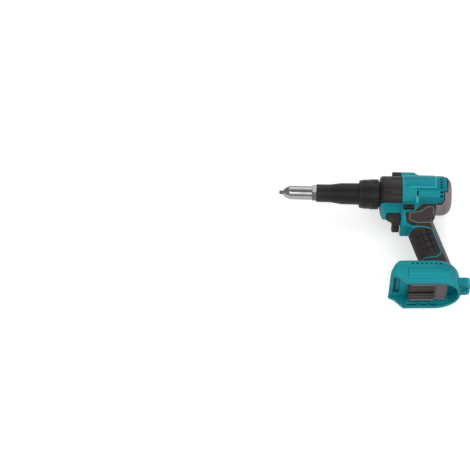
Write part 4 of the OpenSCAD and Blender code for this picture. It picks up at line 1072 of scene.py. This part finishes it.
for word, side in SIDES.items():
    make_plate(word, side)
    make_plate_highlight(word, side)
    make_vent_shade(word, side)
    make_ring_ramp(word, side)
    make_grip_line(word)
    make_cover_seam(word)
    make_pad_blocks(word)
make_terminal_trim()
make_latch_shade()
make_rail_shade()
make_turned_nose()
make_trigger_spring()
make_screws("cross_cover_screws", "cover_screws", Vector((1, 0, 0)), Vector((0, 1, 0)), COVER_SCREW)
make_screws("cross_housing_screws", "housing_screws", Vector((0, 0, -1)), Vector((1, 0, 0)), HOUSING_SCREW)


# Camera, as the photograph was taken

ELEVATION = math.radians(56.0)
YAW = math.radians(-1.5)
SENSOR, LENS = 36.0, 142.5
NEAREST, FURTHEST = 0.1, 60.0
CAMERA_PLACE = at(-189.41, -1753.57, 2473.48)


def make_camera():
    ahead = math.cos(ELEVATION)
    look = Vector((math.sin(YAW) * ahead, math.cos(YAW) * ahead, -math.sin(ELEVATION)))
    right = Vector((math.cos(YAW), -math.sin(YAW), 0.0))
    turn = Matrix((right, right.cross(look), -look)).transposed().to_4x4()
    data = bpy.data.cameras.new("photo_camera")
    data.sensor_width = SENSOR
    data.lens = LENS
    data.clip_start = NEAREST
    data.clip_end = FURTHEST
    camera = add_object("photo_camera", data)
    camera.matrix_world = Matrix.Translation(CAMERA_PLACE) @ turn
    scene.camera = camera


# Floor, world and lamps

FLOOR_REACH, FLOOR_CELLS = 16.0, 8
FLOOR_DROP = 0.0004
FLOOR_GREY = 0.8
FLOOR_GLOW = 0.52
SKY_COLOUR = (0.97, 0.98, 1.0)
SKY_STRENGTH = 0.36
# Name, place, target, size and power
LAMPS = [
    ("key", (0.65, -0.72, 1.35), (0, 0, 0), (0.9, 0.5), 3.6),
    ("front", (-0.45, -0.78, 1.38), (-0.1, 0, 0), (0.9, 0.36), 3.5),
    ("low", (0.1, -1.15, 0.97), (0, 0, 0.03), (1.8, 0.25), 3.4),
    ("back", (0.0, 1.02, 1.25), (0, 0, 0), (1.6, 0.8), 5),
    ("back_low", (0.1, 1.4, 0.8), (0, 0, 0), (1.4, 0.35), 3),
    ("rear", (1.35, 0.1, 0.7), (0.08, 0, 0.03), (0.35, 1.2), 2),
]


def background_mask(tree):
    """1 for rays from the camera, and for those by which metal or glass shows the background."""
    rays = tree.nodes.new("ShaderNodeLightPath").outputs
    seen = math_node(tree, "MAXIMUM", rays["Is Camera Ray"], rays["Is Glossy Ray"])
    return math_node(tree, "MAXIMUM", seen, rays["Is Transmission Ray"])


def floor_material():
    """White where it is bare, while it keeps the object's shadow."""
    material, tree, _ = new_material("white_table")
    tree.nodes.clear()
    diffuse = tree.nodes.new("ShaderNodeBsdfDiffuse")
    diffuse.inputs["Color"].default_value = (*grey(FLOOR_GREY), 1)
    glow = tree.nodes.new("ShaderNodeEmission")
    strength = math_node(tree, "MULTIPLY", background_mask(tree), FLOOR_GLOW)
    tree.links.new(strength, glow.inputs["Strength"])
    both = tree.nodes.new("ShaderNodeAddShader")
    tree.links.new(diffuse.outputs[0], both.inputs[0])
    tree.links.new(glow.outputs[0], both.inputs[1])
    out = tree.nodes.new("ShaderNodeOutputMaterial")
    tree.links.new(both.outputs[0], out.inputs["Surface"])
    return material


def make_floor():
    bm = bmesh.new()
    bmesh.ops.create_grid(bm, x_segments=FLOOR_CELLS, y_segments=FLOOR_CELLS, size=FLOOR_REACH)
    mesh = bpy.data.meshes.new("floor")
    bm.to_mesh(mesh)
    bm.free()
    mesh.materials.append(floor_material())
    floor = add_object("floor", mesh)
    floor.location = (0, 0, -FLOOR_DROP)


def make_world():
    world = bpy.data.worlds.new("studio")
    scene.world = world
    world.use_nodes = True
    sky = world.node_tree.nodes["Background"]
    sky.inputs["Color"].default_value = (*SKY_COLOUR, 1)
    sky.inputs["Strength"].default_value = SKY_STRENGTH


def make_lamp(name, place, target, size, power):
    data = bpy.data.lights.new(name, "AREA")
    data.shape = "RECTANGLE"
    data.size, data.size_y = size
    data.energy = power
    lamp = add_object(name, data)
    lamp.location = place
    direction = Vector(target) - Vector(place)
    lamp.rotation_euler = direction.to_track_quat("-Z", "Y").to_euler()


scene.view_settings.view_transform = "Standard"
make_camera()
make_floor()
make_world()
for lamp in LAMPS:
    make_lamp(*lamp)
